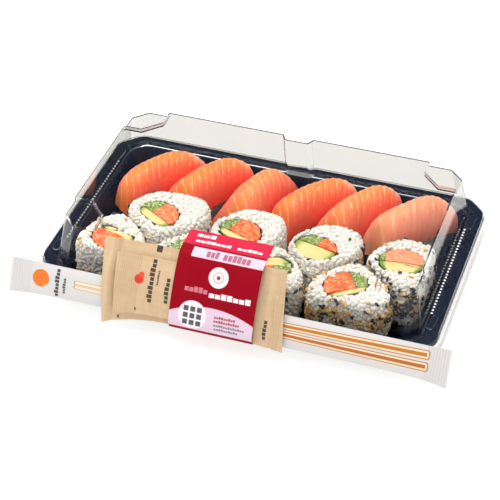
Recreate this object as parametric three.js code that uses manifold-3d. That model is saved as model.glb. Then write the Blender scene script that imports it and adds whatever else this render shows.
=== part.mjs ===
/*
 * A takeaway sushi tray, shut: a black tray with six nigiri and eight rolls under a clear lid,
 * and a band of card that holds two sauce sachets and a pair of wrapped chopsticks to its front.
 *
 * Millimetres, +Z up, +X along the long side, -Y towards the front. Everything is laid out round the
 * middle of the tray's rim, with the rim's top at height 0. The last group then lifts the pack so that
 * its origin is under the middle of the whole.
 */
import * as THREE from "three";
import { mergeVertices } from "three/addons/utils/BufferGeometryUtils.js";
import loadManifold from "manifold-3d";

const wasm = await loadManifold();
wasm.setup();

// ---------------------------------------------------------------- driving dimensions

const GAP = 0.3; // between pieces that touch

const TRAY = {
  floorReach: 97.5, // from the middle to the edge of the inside floor, along X
  floor: -17, // height of the inside floor
  wall: 0.9,
  endsWider: 2.2, // how much further the rim reaches past the short sides than past the long ones
  footHeight: 1.3,
  footInner: 52, // the two feet leave a channel under the middle
  footOuter: 92,
  footRounding: 5,
  footOverlap: 0.4, // how far a foot runs up into the base
};
// The tray's wall in section, from the base's edge over the rim and down inside to the floor: reach along X,
// height, and how much further it reaches past the short sides.
const TRAY_SECTION = [
  [TRAY.floorReach + 0.8, TRAY.floor - TRAY.wall, 0],
  [105.2, -2.9, 0],
  [107.2, -2.9, 0],
  [107.9, -0.9, 0],
  [110.8, -0.9, TRAY.endsWider],
  [111.2, -4, TRAY.endsWider],
  [112, -4, TRAY.endsWider],
  [111.7, -0.6, TRAY.endsWider],
  [111, 0, TRAY.endsWider],
  [107.2, 0, 0],
  [106.4, -2, 0],
  [104.5, -2, 0],
  [TRAY.floorReach, TRAY.floor, 0],
];
const SIDE_DIFFERENCE = 42.8; // how much less every outline reaches along Y than along X
const CORNER_CUT = 7.5; // cut corner of the outline that reaches CORNER_REACH
const CORNER_REACH = 105;

const LID = {
  top: 29.6,
  topReach: 100,
  baseReach: 105.3,
  base: -1.6,
  cut: 8, // cut corners of the dome
  rounding: 0.8,
  wall: 0.5,
  ledge: 26.5, // height of the stepped corners
  ledgeX: [79.5, 89.4], // where a stepped corner begins along the front, and ends along the side
  ledgeY: [47, 36.8],
  recessMiddle: 1, // the pressed recess halfway along each long side
  recessHalf: 6.5,
  recessDepth: 4.5,
  recessFlare: 2.5,
  recessFoot: 1.6,
  lugX: 108.3,
  lugY: 45,
  lugHalf: 6.5,
  lugRadius: 2.3,
  lugFoot: 0.6,
  lugTop: 2,
};
// The flange of the lid in section, as TRAY_SECTION has the tray: under it out to the lip, and back over it.
const FLANGE_SECTION = [
  [104.85, -1.65, 0],
  [106.1, -1.65, 0],
  [106.8, 0.35, 0],
  [111.3, 0.35, TRAY.endsWider],
  [112.3, -0.7, TRAY.endsWider],
  [112.6, -4.9, TRAY.endsWider],
  [116.6, -4.9, 0],
  [116.6, -4.4, 0],
  [113.1, -4.4, TRAY.endsWider],
  [112.8, -0.4, TRAY.endsWider],
  [111.6, 0.9, TRAY.endsWider],
  [106.4, 0.9, 0],
  [105.7, -1.1, 0],
  [104.85, -1.1, 0],
];

const NIGIRI = {
  edge: -14, // height of the fish's lower edge
  bend: THREE.MathUtils.degToRad(82), // how far round the arch each side goes
  fullness: 0.5, // lower is squarer across
  frontFall: 0.86, // share of the height that the front end loses in all
  frontTurn: 12, // how sharply the front end turns down
  taper: 0.16, // how much narrower the ends are than the middle
  frontFlare: 0.01, // how much wider the front end is than the rear end
  endBow: 0.1, // how far the ends bow out, as a share of half the length
  fishThick: 5.5,
  fishEnd: 0.8, // how far the hollow under the fish stops short of its ends
  riceShort: 5, // how much shorter the rice is than that hollow, at each end
};
// where the ridge of each nigiri begins and ends, its half width and the height of its ridge, from the left
const NIGIRI_PLACES = [
  { from: [-92.2, 6.8], to: [-58.2, 53.5], half: 12.2, crest: 15.6 },
  { from: [-57.5, 11.5], to: [-29.7, 53.2], half: 12.5, crest: 15.4 },
  { from: [-22.7, 9.8], to: [-3.8, 53.6], half: 12.6, crest: 15.2 },
  { from: [2.9, 12.1], to: [35.2, 52.7], half: 11.8, crest: 15.4 },
  { from: [34.7, 11.4], to: [61.1, 52], half: 11.3, crest: 17.8 },
  { from: [61.4, 12], to: [94.6, 52], half: 11.8, crest: 18.1 },
];
// the shares of the height that each one's front and rear ends lose, how far its left side leads at the
// front end, and how much further it spreads there, as a share of the half width
const NIGIRI_ENDS = [
  { nose: 0.4, tail: 0.45, lead: 0, spread: 0 },
  { nose: 0.2, tail: 0.3, lead: 12, spread: 0.1 },
  { nose: 0.6, tail: 0.5, lead: 6, spread: 0.5 },
  { nose: 0.2, tail: 0.3, lead: 5, spread: 0 },
  { nose: 0.3, tail: 0.3, lead: 11, spread: 0.3 },
  { nose: 0.2, tail: 0.4, lead: 9, spread: 0 },
];

const ROLL = {
  height: 28.5,
  radius: 25, // of a roll of size 1, where nothing presses on it
  slack: 0.6, // room that each roll leaves on its own side of a neighbour
  squareness: 7, // how sharply a pressed roll turns from one flat to the next
  coreX: 12.4, // half length and half width of the oval filling
  coreY: 10.2,
  coreSides: 14,
  flatness: 0.25, // how round the filling stays beyond its flat on the avocado's side
  fillingRise: 0.9, // most that a filling stands over the rice
  noriThick: 0.7,
  grain: 0.7, // depth of the bumps that grains of rice make
  crown: 0.5, // how far the rice's top stands over the seaweed
  crownShares: [0.62, 0.28], // where rings of bumps lie between the filling and the outside
  around: 18,
  seeds: 9,
  seedHalf: [1.1, 1.2, 1.9],
  pressAngle: 2.5, // towards the rear left
  seedTurn: 2.4, // from one seed to the next, round the roll
};
// how a roll bulges: share of its radius at a share of its height, from the foot up
const ROLL_SIDE = [[0.88, 0], [0.95, 0.14], [1, 0.4], [1, 0.68], [0.985, 0.88], [0.92, 1]];
// each roll's middle, size, reach towards the flattened rear left, and extra height
const ROLL_PLACES = [
  { at: [-53.5, -14.5], size: 1.12, press: 25, rise: 1 },
  { at: [-8, -14], size: 1.08, press: 17.2, rise: 0.4 },
  { at: [38, -14.5], size: 1.08, press: 17, rise: 0.6 },
  { at: [82, -12.5], size: 1.04, press: 16, rise: 0.6 },
  { at: [-76, -41], size: 0.96, press: 18, rise: 0 },
  { at: [-31, -40], size: 0.98, press: 18, rise: 0 },
  { at: [15, -40], size: 0.98, press: 18, rise: -0.4 },
  { at: [60, -39.5], size: 1.05, press: 17.5, rise: -1 },
];
// Each roll's filling: where it comes out on top and its turn, its shares of avocado and of greens, and where
// the avocado's side is cut flat, as a share of the half width. Greens lie left of the salmon, or right of it
// where the filling is mirrored.
const ROLL_FILLINGS = [
  { core: [-4.5, -2], turn: -30, shares: [0.4, 0.36], flat: 0.66 },
  { core: [-1.5, -3], turn: -20, shares: [0.36, 0.26], flat: 0.66 },
  { core: [-3.2, -3.6], turn: -14, shares: [0.6, 0.5], flat: 0.95 },
  { core: [1, -2.2], turn: 6, shares: [0.44, 0.12], flat: 0.8 },
  { core: [0.5, -2.4], turn: 163, shares: [0.34, 0.3], flat: 0.66 },
  { core: [0, -1], turn: 20, shares: [0.42, 0.36], flat: 0.8 },
  { core: [0, -1], turn: 205, shares: [0.42, 0.4], flat: 0.8 },
  { core: [-1, -2], turn: 35, shares: [0.3, 0.3], flat: 0.66, mirrored: true },
];
const ROLL_NAMES = ["back_1", "back_2", "back_3", "back_4", "front_1", "front_2", "front_3", "front_4"];
const ROLL_WALLS = { left: -97.5, right: 98.8, front: -56.4, back: 6.3 };

// Sachets, chopsticks and band lie along the line from the lid's front edge to the lip of its flange.
const LEAN_TOP = new THREE.Vector2(-57.3, 29.9); // y and z
const LEAN_FOOT = new THREE.Vector2(-74.0, -4.4);
// high and low are how far down the line its two long edges run, at the left end, the middle and the right
const SLEEVE = {
  left: -124.5,
  right: 125,
  high: [26.4, 26.4, 26.2],
  low: [46.4, 44.3, 47.4],
  flare: 10, // how near its ends the long edges spread
  lean: 0, // how far the short edges slant
  half: 1.6, // half thickness where it is fullest
  edge: 0.25, // half thickness at its edges
  seal: 0.94, // how far out the filled part runs
};
const SOY = {
  left: -69.5,
  right: 34,
  high: [4, 3.2, 2.6],
  low: [51.5, 44.2, 46.5],
  flare: 3,
  lean: 2.2,
  half: 1.2,
  edge: 0.25,
  seal: 0.86,
};
const WASABI = {
  left: -61.4,
  right: 4,
  high: [10, 9.5, 9.5],
  low: [44.4, 41, 41],
  flare: 3,
  lean: 0.9,
  half: 0.8,
  edge: 0.2,
  seal: 0.8,
};
// how far the middle of the soy sachet stands off the leaning line, at distances down it
const SOY_STAND_OFF = [[0, 0.6], [12, 3.2], [20, 4.6], [27, 5.3], [40, 5.4], [46, 5.0], [52, 4.4]];
const BAND = {
  left: -28,
  right: 19.5,
  thick: 0.4,
  flapEnd: -44.3, // y of its end on the lid
  tailEnd: -22, // y of its end under the tray
  foot: [[-83.1, -5.2], [-82.5, -7.8], [-80.2, -10.1]], // y and z, where it turns in below the sachets
};

// ---------------------------------------------------------------- colours

const paint = (color, roughness, extra = {}) =>
  new THREE.MeshStandardMaterial({ color, roughness, metalness: 0, ...extra });

const MATERIALS = {
  tray: paint("#15171c", 0.25),
  lid: paint("#eef2f4", 0.08, { transparent: true, opacity: 0.3 }),
  band: paint("#c40f31", 0.4),
  kraft: paint("#d9bd95", 0.55),
  paper: paint("#dddbd8", 0.7),
  fish: paint("#fb6440", 0.4),
  salmon: paint("#f87848", 0.4),
  rice: paint("#e9e6da", 0.6),
  nori: paint("#23271f", 0.6),
  avocado: paint("#efe08c", 0.5),
  greens: paint("#8fae4a", 0.6),
};

// ---------------------------------------------------------------- closed bodies

/** Turns points and triangles into a geometry, with the triangles facing out. */
function closedBody(points, faces) {
  const volume = faces.reduce((sum, [a, b, c]) => {
    const cross = new THREE.Vector3().crossVectors(points[b], points[c]);
    return sum + points[a].dot(cross);
  }, 0);
  const order = volume < 0 ? faces.map(([a, b, c]) => [a, c, b]) : faces;
  const geometry = new THREE.BufferGeometry().setFromPoints(points);
  geometry.setIndex(order.flat());
  return geometry;
}

/** A surface through rings of equal count: looped on itself, or shut by a fan at each end. */
function throughRings(rings, looped) {
  const count = rings[0].length;
  const points = rings.flat();
  const faces = [];
  const spans = looped ? rings.length : rings.length - 1;
  for (let ring = 0; ring < spans; ring++) {
    const here = ring * count;
    const there = ((ring + 1) % rings.length) * count;
    for (let i = 0; i < count; i++) {
      const j = (i + 1) % count;
      faces.push([here + i, here + j, there + j], [here + i, there + j, there + i]);
    }
  }
  if (!looped) {
    for (const [ring, start, flip] of [[rings[0], 0, true], [rings.at(-1), points.length - count, false]]) {
      const middle = ring.reduce((sum, p) => sum.add(p), new THREE.Vector3()).divideScalar(count);
      const hub = points.push(middle) - 1;
      for (let i = 0; i < count; i++) {
        const j = (i + 1) % count;
        faces.push(flip ? [hub, start + j, start + i] : [hub, start + i, start + j]);
      }
    }
  }
  return closedBody(points, faces);
}

/** A body between two surfaces over the same grid, each a function of u and v from -1 to 1. */
function betweenSurfaces(stepsU, stepsV, front, back) {
  const points = [];
  for (const surface of [front, back]) {
    for (let i = 0; i <= stepsU; i++) {
      for (let j = 0; j <= stepsV; j++) {
        points.push(surface((2 * i) / stepsU - 1, (2 * j) / stepsV - 1));
      }
    }
  }
  const at = (i, j) => i * (stepsV + 1) + j;
  const under = (stepsU + 1) * (stepsV + 1);
  const faces = [];
  for (let i = 0; i < stepsU; i++) {
    for (let j = 0; j < stepsV; j++) {
      const [a, b, c, d] = [at(i, j), at(i + 1, j), at(i + 1, j + 1), at(i, j + 1)];
      faces.push([a, b, c], [a, c, d]);
      faces.push([under + a, under + c, under + b], [under + a, under + d, under + c]);
    }
  }
  const rim = [];
  for (let i = 0; i < stepsU; i++) rim.push(at(i, 0));
  for (let j = 0; j < stepsV; j++) rim.push(at(stepsU, j));
  for (let i = stepsU; i > 0; i--) rim.push(at(i, stepsV));
  for (let j = stepsV; j > 0; j--) rim.push(at(0, j));
  rim.forEach((a, index) => {
    const b = rim[(index + 1) % rim.length];
    faces.push([b, a, under + a], [b, under + a, under + b]);
  });
  return closedBody(points, faces);
}

/** An upright prism on an outline of 2-D points. */
function prism(outline, low, high) {
  const geometry = new THREE.ExtrudeGeometry(new THREE.Shape(outline), {
    depth: high - low,
    bevelEnabled: false,
    steps: 1,
  });
  return geometry.translate(0, 0, low);
}

function toSolid(geometry) {
  const bare = geometry.clone();
  bare.deleteAttribute("normal");
  bare.deleteAttribute("uv");
  const merged = mergeVertices(bare, 1e-4);
  return new wasm.Manifold(
    new wasm.Mesh({
      numProp: 3,
      vertProperties: new Float32Array(merged.attributes.position.array),
      triVerts: new Uint32Array(merged.index.array),
    }),
  );
}

function toGeometry(solid) {
  const mesh = solid.getMesh();
  const geometry = new THREE.BufferGeometry();
  geometry.setAttribute("position", new THREE.BufferAttribute(new Float32Array(mesh.vertProperties), 3));
  geometry.setIndex(new THREE.BufferAttribute(new Uint32Array(mesh.triVerts), 1));
  return geometry;
}

// ---------------------------------------------------------------- outlines

/** Rounds each corner of a polygon: the curve starts a given length before the corner. */
function roundedCorners(corners, length, steps) {
  return corners.flatMap((corner, index) => {
    const before = corners.at(index - 1);
    const after = corners[(index + 1) % corners.length];
    const reach = Math.min(length, corner.distanceTo(before) * 0.45, corner.distanceTo(after) * 0.45);
    const start = corner.clone().lerp(before, reach / corner.distanceTo(before));
    const end = corner.clone().lerp(after, reach / corner.distanceTo(after));
    return new THREE.QuadraticBezierCurve(start, corner, end).getPoints(steps);
  });
}

/** How far the corners are cut at a given reach, so that the outlines run parallel. */
const cornerCut = (reach) => CORNER_CUT + (2 - Math.SQRT2) * (reach - CORNER_REACH);

/** The pack's outline, a rectangle with cut corners, counter-clockwise: its reach, and how it differs. */
function packOutline(reach, { wider = 0, cut = cornerCut(reach), rounding = 0.45 * cut, steps = 2 } = {}) {
  const halfX = reach + wider; // wider is for the short sides alone
  const halfY = reach - SIDE_DIFFERENCE;
  const corners = [];
  for (const [signX, signY] of [[1, 1], [-1, 1], [-1, -1], [1, -1]]) {
    const onSide = new THREE.Vector2(signX * halfX, signY * (halfY - cut));
    const onFront = new THREE.Vector2(signX * (halfX - cut), signY * halfY);
    corners.push(...(signX * signY > 0 ? [onSide, onFront] : [onFront, onSide]));
  }
  return roundedCorners(corners, rounding, steps);
}

const atHeight = (outline, z) => outline.map((p) => new THREE.Vector3(p.x, p.y, z));

/** The rings of a section, each point of which gives reach, height and how much wider the ends are. */
const sectionRings = (section) =>
  section.map(([reach, z, wider]) => atHeight(packOutline(reach, { wider }), z));

const randomFrom = (seed) => () => {
  seed = (seed + 0x6d2b79f5) | 0;
  let t = Math.imul(seed ^ (seed >>> 15), 1 | seed);
  t = (t + Math.imul(t ^ (t >>> 7), 61 | t)) ^ t;
  return ((t ^ (t >>> 14)) >>> 0) / 4294967296;
};

// ---------------------------------------------------------------- tray

/** The tray: one wall folded from the base up over the rim, on two broad feet. */
function makeTray() {
  const { floor, wall, footHeight, footInner, footOuter, footOverlap } = TRAY;
  let tray = toSolid(throughRings(sectionRings(TRAY_SECTION), false));
  const footHalfY = footOuter - SIDE_DIFFERENCE;
  for (const side of [-1, 1]) {
    const corners = [
      new THREE.Vector2(side * footInner, -footHalfY),
      new THREE.Vector2(side * footOuter, -footHalfY),
      new THREE.Vector2(side * footOuter, footHalfY),
      new THREE.Vector2(side * footInner, footHalfY),
    ];
    const base = floor - wall;
    const outline = roundedCorners(corners, TRAY.footRounding, 3);
    tray = tray.add(toSolid(prism(outline, base - footHeight, base + footOverlap)));
  }
  return toGeometry(tray);
}

// ---------------------------------------------------------------- lid

const lidWallReach = (z) => {
  const rise = (z - LID.base) / (LID.top - LID.base);
  return LID.baseReach + (LID.topReach - LID.baseReach) * rise;
};

/** The dome as a full block, drawn in by an inset: the lid is one block less a smaller one. */
function domeBlock(inset, base) {
  const top = LID.top - inset;
  const facets = { cut: LID.cut, rounding: LID.rounding, steps: 1 };
  const ring = (z) => atHeight(packOutline(lidWallReach(z) - inset, facets), z);
  let block = toSolid(throughRings([ring(base), ring(top)], false));
  const [x1, x2] = LID.ledgeX;
  const [y1, y2] = LID.ledgeY;
  const turn = inset * Math.tan(Math.PI / 8);
  const beyond = 20;
  for (const [signX, signY] of [[1, 1], [-1, 1], [-1, -1], [1, -1]]) {
    const corner = [
      [x1 - inset, LID.topReach],
      [x1 - inset, y1 - turn],
      [x2 - turn, y2 - inset],
      [LID.topReach + beyond, y2 - inset],
      [LID.topReach + beyond, LID.topReach],
    ].map(([x, y]) => new THREE.Vector2(signX * x, signY * y));
    block = block.subtract(toSolid(prism(corner, LID.ledge - inset, LID.top + 1)));
  }
  for (const side of [-1, 1]) {
    const half = LID.recessHalf + inset;
    const slice = (z) => {
      const back = lidWallReach(z) - SIDE_DIFFERENCE - LID.recessDepth - inset;
      const mouth = back + LID.recessDepth + beyond;
      const flare = (LID.recessFlare * (mouth - back)) / LID.recessDepth;
      return [[-half, back], [half, back], [half + flare, mouth], [-half - flare, mouth]].map(
        ([x, y]) => new THREE.Vector3(LID.recessMiddle + x, side * y, z),
      );
    };
    const recess = throughRings([slice(LID.recessFoot - inset), slice(LID.top + 1)], false);
    block = block.subtract(toSolid(recess));
  }
  return block;
}

/** The lugs that hold the lid shut, a rounded bar on the flange near each corner. */
function lidLugs() {
  const lugs = [];
  for (const [signX, signY] of [[1, 1], [-1, 1], [-1, -1], [1, -1]]) {
    const outline = [];
    const steps = 10;
    for (let i = 0; i < steps; i++) {
      const angle = (i * 2 * Math.PI) / steps;
      const reach = Math.sin(angle) >= 0 ? 1 : -1;
      outline.push(
        new THREE.Vector2(
          signX * LID.lugX + LID.lugRadius * Math.cos(angle),
          signY * LID.lugY + reach * (LID.lugHalf - LID.lugRadius) + LID.lugRadius * Math.sin(angle),
        ),
      );
    }
    lugs.push(toSolid(prism(outline, LID.lugFoot, LID.lugTop)));
  }
  return lugs;
}

function makeLid() {
  const dome = domeBlock(0, LID.base).subtract(domeBlock(LID.wall, LID.base - 1));
  // the flange follows the tray's rim, down its outside and out to the lip
  const flange = toSolid(throughRings(sectionRings(FLANGE_SECTION), true));
  return toGeometry(lidLugs().reduce((lid, lug) => lid.add(lug), dome.add(flange)));
}

// ---------------------------------------------------------------- nigiri

/** A point of the arched form that fish and rice share, with u along it, front to back, and v across. */
function archPoint(u, v, { halfLength, halfWidth, rise, nose, tail, lead, spread }) {
  const { bend, taper, frontFlare, frontFall, frontTurn, endBow, edge, fullness } = NIGIRI;
  const across = v * bend;
  const leading = u < 0 && v > 0 ? u ** 4 : 0;
  const width = halfWidth * Math.sqrt(1 - taper * u ** 4) * (1 - frontFlare * u + spread * leading * u ** 2);
  const end = u < 0 ? nose : tail;
  const turn = u < 0 ? (frontFall - nose) * Math.abs(u) ** frontTurn : 0;
  const drop = 1 - end * Math.abs(u) ** 3 - turn;
  return new THREE.Vector3(
    halfLength * u * (1 - endBow * v * v) - lead * v * leading,
    width * Math.sin(across),
    edge + rise * Math.cos(across) ** fullness * drop,
  );
}

/** A slice of fish bent over a block of rice, along X round its own middle. */
function makeNigiri(length, { half, crest }, ends) {
  const { edge, fishThick, fishEnd, riceShort } = NIGIRI;
  const outer = { halfLength: length / 2, halfWidth: half, rise: crest - edge, ...ends };
  const inner = {
    ...outer,
    halfLength: outer.halfLength - fishEnd,
    halfWidth: outer.halfWidth - fishThick * 0.75,
    rise: outer.rise - fishThick,
  };
  const riceTop = {
    ...inner,
    halfLength: inner.halfLength - riceShort,
    halfWidth: inner.halfWidth - GAP * 2,
    rise: inner.rise - GAP * 2,
  };
  const foot = TRAY.floor + GAP;
  return {
    fish: betweenSurfaces(12, 8, (u, v) => archPoint(u, v, outer), (u, v) => archPoint(u, v, inner)),
    rice: betweenSurfaces(
      6,
      6,
      (u, v) => archPoint(u, v, riceTop),
      (u, v) => archPoint(u, v, riceTop).setZ(foot),
    ),
  };
}

// ---------------------------------------------------------------- rolls

/** The flats that press on a roll: its neighbours and the walls, each a direction and a distance. */
function flatsOn(roll) {
  const flats = [];
  const [x, y] = roll.at;
  for (const other of ROLL_PLACES) {
    const apart = new THREE.Vector2(other.at[0] - x, other.at[1] - y);
    if (apart.length() === 0 || apart.length() > 2.2 * ROLL.radius) continue;
    const share = roll.size / (roll.size + other.size);
    flats.push({ angle: apart.angle(), distance: apart.length() * share - ROLL.slack });
  }
  flats.push({ angle: ROLL.pressAngle, distance: roll.press });
  flats.push({ angle: 0, distance: ROLL_WALLS.right - x });
  flats.push({ angle: Math.PI, distance: x - ROLL_WALLS.left });
  flats.push({ angle: -Math.PI / 2, distance: y - ROLL_WALLS.front });
  flats.push({ angle: Math.PI / 2, distance: ROLL_WALLS.back - y });
  return flats;
}

/** Distance from a roll's middle to its pressed side in a direction: round, with soft flats. */
function pressedRadius(angle, flats, size) {
  const power = ROLL.squareness;
  const total = flats.reduce((sum, flat) => {
    const facing = Math.max(0, Math.cos(angle - flat.angle));
    return sum + (facing / flat.distance) ** power;
  }, (ROLL.radius * size) ** -power);
  return total ** (-1 / power);
}

/** Share of the full radius that a roll's side has at a share of its height. */
function sideShare(height) {
  const upper = ROLL_SIDE.findIndex(([, place]) => place >= height);
  const [[share0, place0], [share1, place1]] = [ROLL_SIDE[upper - 1], ROLL_SIDE[upper]];
  return THREE.MathUtils.mapLinear(height, place0, place1, share0, share1);
}

/** How a roll's filling leans: straight at its foot, out to its own place on top. */
function coreLean(roll) {
  const [x, y] = roll.core;
  const turn = new THREE.Matrix4().makeRotationZ(THREE.MathUtils.degToRad(roll.turn));
  return new THREE.Matrix4().makeShear(0, 0, 0, 0, x / ROLL.height, y / ROLL.height).multiply(turn);
}

/** The filling's outline grown by an extra width: an oval, nearly flat on the avocado's side. */
function coreOutline(roll, extra, count, start) {
  const flat = -roll.flat * ROLL.coreY - extra;
  return Array.from({ length: count }, (_, i) => {
    const angle = start + (i * 2 * Math.PI) / count;
    const y = (ROLL.coreY + extra) * Math.sin(angle);
    const x = (ROLL.coreX + extra) * Math.cos(angle);
    return new THREE.Vector2(x, y < flat ? THREE.MathUtils.lerp(flat, y, ROLL.flatness) : y);
  });
}

/** A ring of points round a roll's filling, its outline grown by an extra width. */
function coreRing(roll, extra, z) {
  const lean = coreLean(roll);
  const start = -THREE.MathUtils.degToRad(roll.turn);
  return atHeight(coreOutline(roll, extra, ROLL.around, start), z).map((point) => point.applyMatrix4(lean));
}

const polar = (angle, radius, z) => new THREE.Vector3(radius * Math.cos(angle), radius * Math.sin(angle), z);

/** A ring of rice round the filling, bulging at mid height, bumpy with grains, sesame on its side. */
function makeRollRice(roll, random) {
  const flats = flatsOn(roll);
  const top = ROLL.height + roll.rise;
  const outside = (angle, share, z) => polar(angle, pressedRadius(angle, flats, roll.size) * share, z);
  const outerRing = (share, z) =>
    Array.from({ length: ROLL.around }, (_, i) => outside((i * 2 * Math.PI) / ROLL.around, share, z));
  const dented = (point, inwards) => {
    const dent = ROLL.grain * random();
    const across = new THREE.Vector3(-point.x, -point.y, 0).setLength(dent * inwards);
    return point.add(across).setZ(point.z - dent);
  };
  const hole = ROLL.noriThick + 2 * GAP;
  const crown = top + ROLL.crown;
  const betweenRing = (share) => {
    const outer = outerRing(ROLL_SIDE.at(-1)[0], crown);
    return coreRing(roll, hole, crown).map((point, i) => dented(point.lerp(outer[i], share), 0));
  };
  const body = [
    outerRing(ROLL_SIDE[0][0], 0),
    ...ROLL_SIDE.slice(1).map(([share, height]) =>
      outerRing(share, height * top).map((point) => dented(point, 1)),
    ),
    ...ROLL.crownShares.map(betweenRing),
    coreRing(roll, hole, top - 0.6),
    coreRing(roll, hole, 0),
  ];
  let rice = toSolid(throughRings(body, true));
  for (let i = 0; i < ROLL.seeds; i++) {
    const angle = i * ROLL.seedTurn + random() * 0.5;
    const height = 0.3 + 0.6 * random();
    const seed = new THREE.IcosahedronGeometry(1, 0).scale(...ROLL.seedHalf);
    seed.rotateX((random() - 0.5) * 2.4);
    seed.rotateZ(angle);
    const place = outside(angle, sideShare(height), height * top);
    place.sub(polar(angle, ROLL.grain, 0));
    rice = rice.add(toSolid(seed.translate(place.x, place.y, place.z)));
  }
  return toGeometry(rice);
}

function makeNori(roll) {
  const top = ROLL.height + roll.rise;
  const outside = ROLL.noriThick + GAP;
  const rings = [[outside, 0], [outside, top], [GAP, top], [GAP, 0]];
  return throughRings(rings.map(([extra, z]) => coreRing(roll, extra, z)), true);
}

/** The part of a polygon on the side of a line that its normal points away from. */
function clipped(outline, normal, distance) {
  const kept = [];
  outline.forEach((point, index) => {
    const next = outline[(index + 1) % outline.length];
    const here = point.dot(normal) - distance;
    const there = next.dot(normal) - distance;
    if (here <= 0) kept.push(point);
    if (here * there < 0) kept.push(point.clone().lerp(next, here / (here - there)));
  });
  return kept;
}

/** Avocado fills one side of the core, and salmon and chopped greens share the other. */
function makeFillings(roll, random) {
  const core = coreOutline(roll, -GAP, ROLL.coreSides, 0);
  const [avocadoShare, greensShare] = roll.shares;
  const chord = ROLL.coreY * (2 * avocadoShare - 1);
  const split = ROLL.coreX * (2 * greensShare - 1);
  const up = new THREE.Vector2(0, 1);
  const towardsSalmon = new THREE.Vector2(roll.mirrored ? -1 : 1, 0);
  const half = GAP * 0.7;
  const above = clipped(core, up.clone().negate(), -(chord + half));
  const outlines = {
    avocado: clipped(core, up, chord - half),
    salmon: clipped(above, towardsSalmon.clone().negate(), -(split + half)),
    greens: clipped(above, towardsSalmon, split - half),
  };
  return Object.entries(outlines).map(([name, outline]) => {
    const geometry = prism(outline, 0, ROLL.height + roll.rise + ROLL.fillingRise * random());
    return [name, geometry.applyMatrix4(coreLean(roll))];
  });
}

// ---------------------------------------------------------------- what the band holds

const leanDown = LEAN_FOOT.clone().sub(LEAN_TOP).normalize();
const leanOut = new THREE.Vector2(leanDown.y, -leanDown.x);

/** A point given by how far it lies down the leaning line and how far it stands off it. */
function onLean(x, down, off) {
  const place = LEAN_TOP.clone().addScaledVector(leanDown, down).addScaledVector(leanOut, off);
  return new THREE.Vector3(x, place.x, place.y);
}

/** Half thickness of a filled wrapper: flat seals along its edges, puffed between them. */
function puff({ half, edge, seal }, u, v) {
  const across = Math.max(0, 1 - Math.abs(u / seal) ** 4);
  const along = Math.max(0, 1 - Math.abs(v / seal) ** 2.5);
  return edge + (half - edge) * across ** 0.6 * along ** 0.7;
}

const soyOff = (down) => {
  const next = Math.max(1, SOY_STAND_OFF.findIndex(([place]) => place >= down));
  const [[down0, off0], [down1, off1]] = [SOY_STAND_OFF[next - 1], SOY_STAND_OFF[next]];
  return THREE.MathUtils.mapLinear(down, down0, down1, off0, off1);
};

/** A wrapper on the leaning line, with flat edges and a puffed middle. */
function makeWrapper(spec, stepsU, stepsV, offAt) {
  const edgeAt = ([left, middle, right], u) => {
    const end = u < 0 ? left : right;
    return middle + (end - middle) * Math.abs(u) ** spec.flare;
  };
  const place = (u, v) => ({
    x: THREE.MathUtils.lerp(spec.left, spec.right, (u + 1) / 2) + spec.lean * v,
    down: THREE.MathUtils.lerp(edgeAt(spec.high, u), edgeAt(spec.low, u), (v + 1) / 2),
  });
  const surface = (side) => (u, v) => {
    const { x, down } = place(u, v);
    return onLean(x, down, offAt(down) + side * puff(spec, u, v));
  };
  return betweenSurfaces(stepsU, stepsV, surface(1), surface(-1));
}

const makeSleeve = () => makeWrapper(SLEEVE, 14, 4, () => SLEEVE.half + GAP);

const makeSoy = () => makeWrapper(SOY, 12, 8, soyOff);

const makeWasabi = () => makeWrapper(WASABI, 8, 6, (down) => soyOff(down) + SOY.half + WASABI.half + 0.5);

/** The band of card: a flap on the lid, down over the sachets, and back under the tray. */
function makeBand() {
  const over = LID.top + GAP + BAND.thick / 2;
  const under = TRAY.floor - TRAY.wall - GAP - BAND.thick / 2;
  const fold = LEAN_TOP.x;
  const route = [[BAND.flapEnd, over], [fold + 7, over], [fold + 0.7, over], [fold - 2.3, over - 0.5]];
  const clearance = SOY.half + 2 * WASABI.half + 1.2;
  for (const down of [3, 7, 12, 16, 20, 24, 30, 36, 41]) {
    const off = soyOff(down) + clearance - (down < 10 ? 0.1 * (10 - down) : 0);
    const place = onLean(0, down, off);
    route.push([place.y, place.z]);
  }
  const edge = SIDE_DIFFERENCE - TRAY.floorReach;
  route.push(...BAND.foot, [edge - 5, under - 0.1], [edge + 5, under], [BAND.tailEnd, under]);
  const path = route.map(([y, z]) => new THREE.Vector2(y, z));
  const sideways = path.map((_, i) => {
    const along = path[Math.min(i + 1, path.length - 1)].clone().sub(path[Math.max(i - 1, 0)]).normalize();
    return new THREE.Vector2(along.y, -along.x).multiplyScalar(BAND.thick / 2);
  });
  const surface = (side) => (u, v) => {
    const i = Math.round(((v + 1) / 2) * (path.length - 1));
    const place = path[i].clone().addScaledVector(sideways[i], side);
    return new THREE.Vector3(u < 0 ? BAND.left : BAND.right, place.x, place.y);
  };
  return betweenSurfaces(1, path.length - 1, surface(1), surface(-1));
}

// ---------------------------------------------------------------- the whole pack

function piece(name, geometry, material) {
  const mesh = new THREE.Mesh(geometry, material);
  mesh.name = name;
  return mesh;
}

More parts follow.
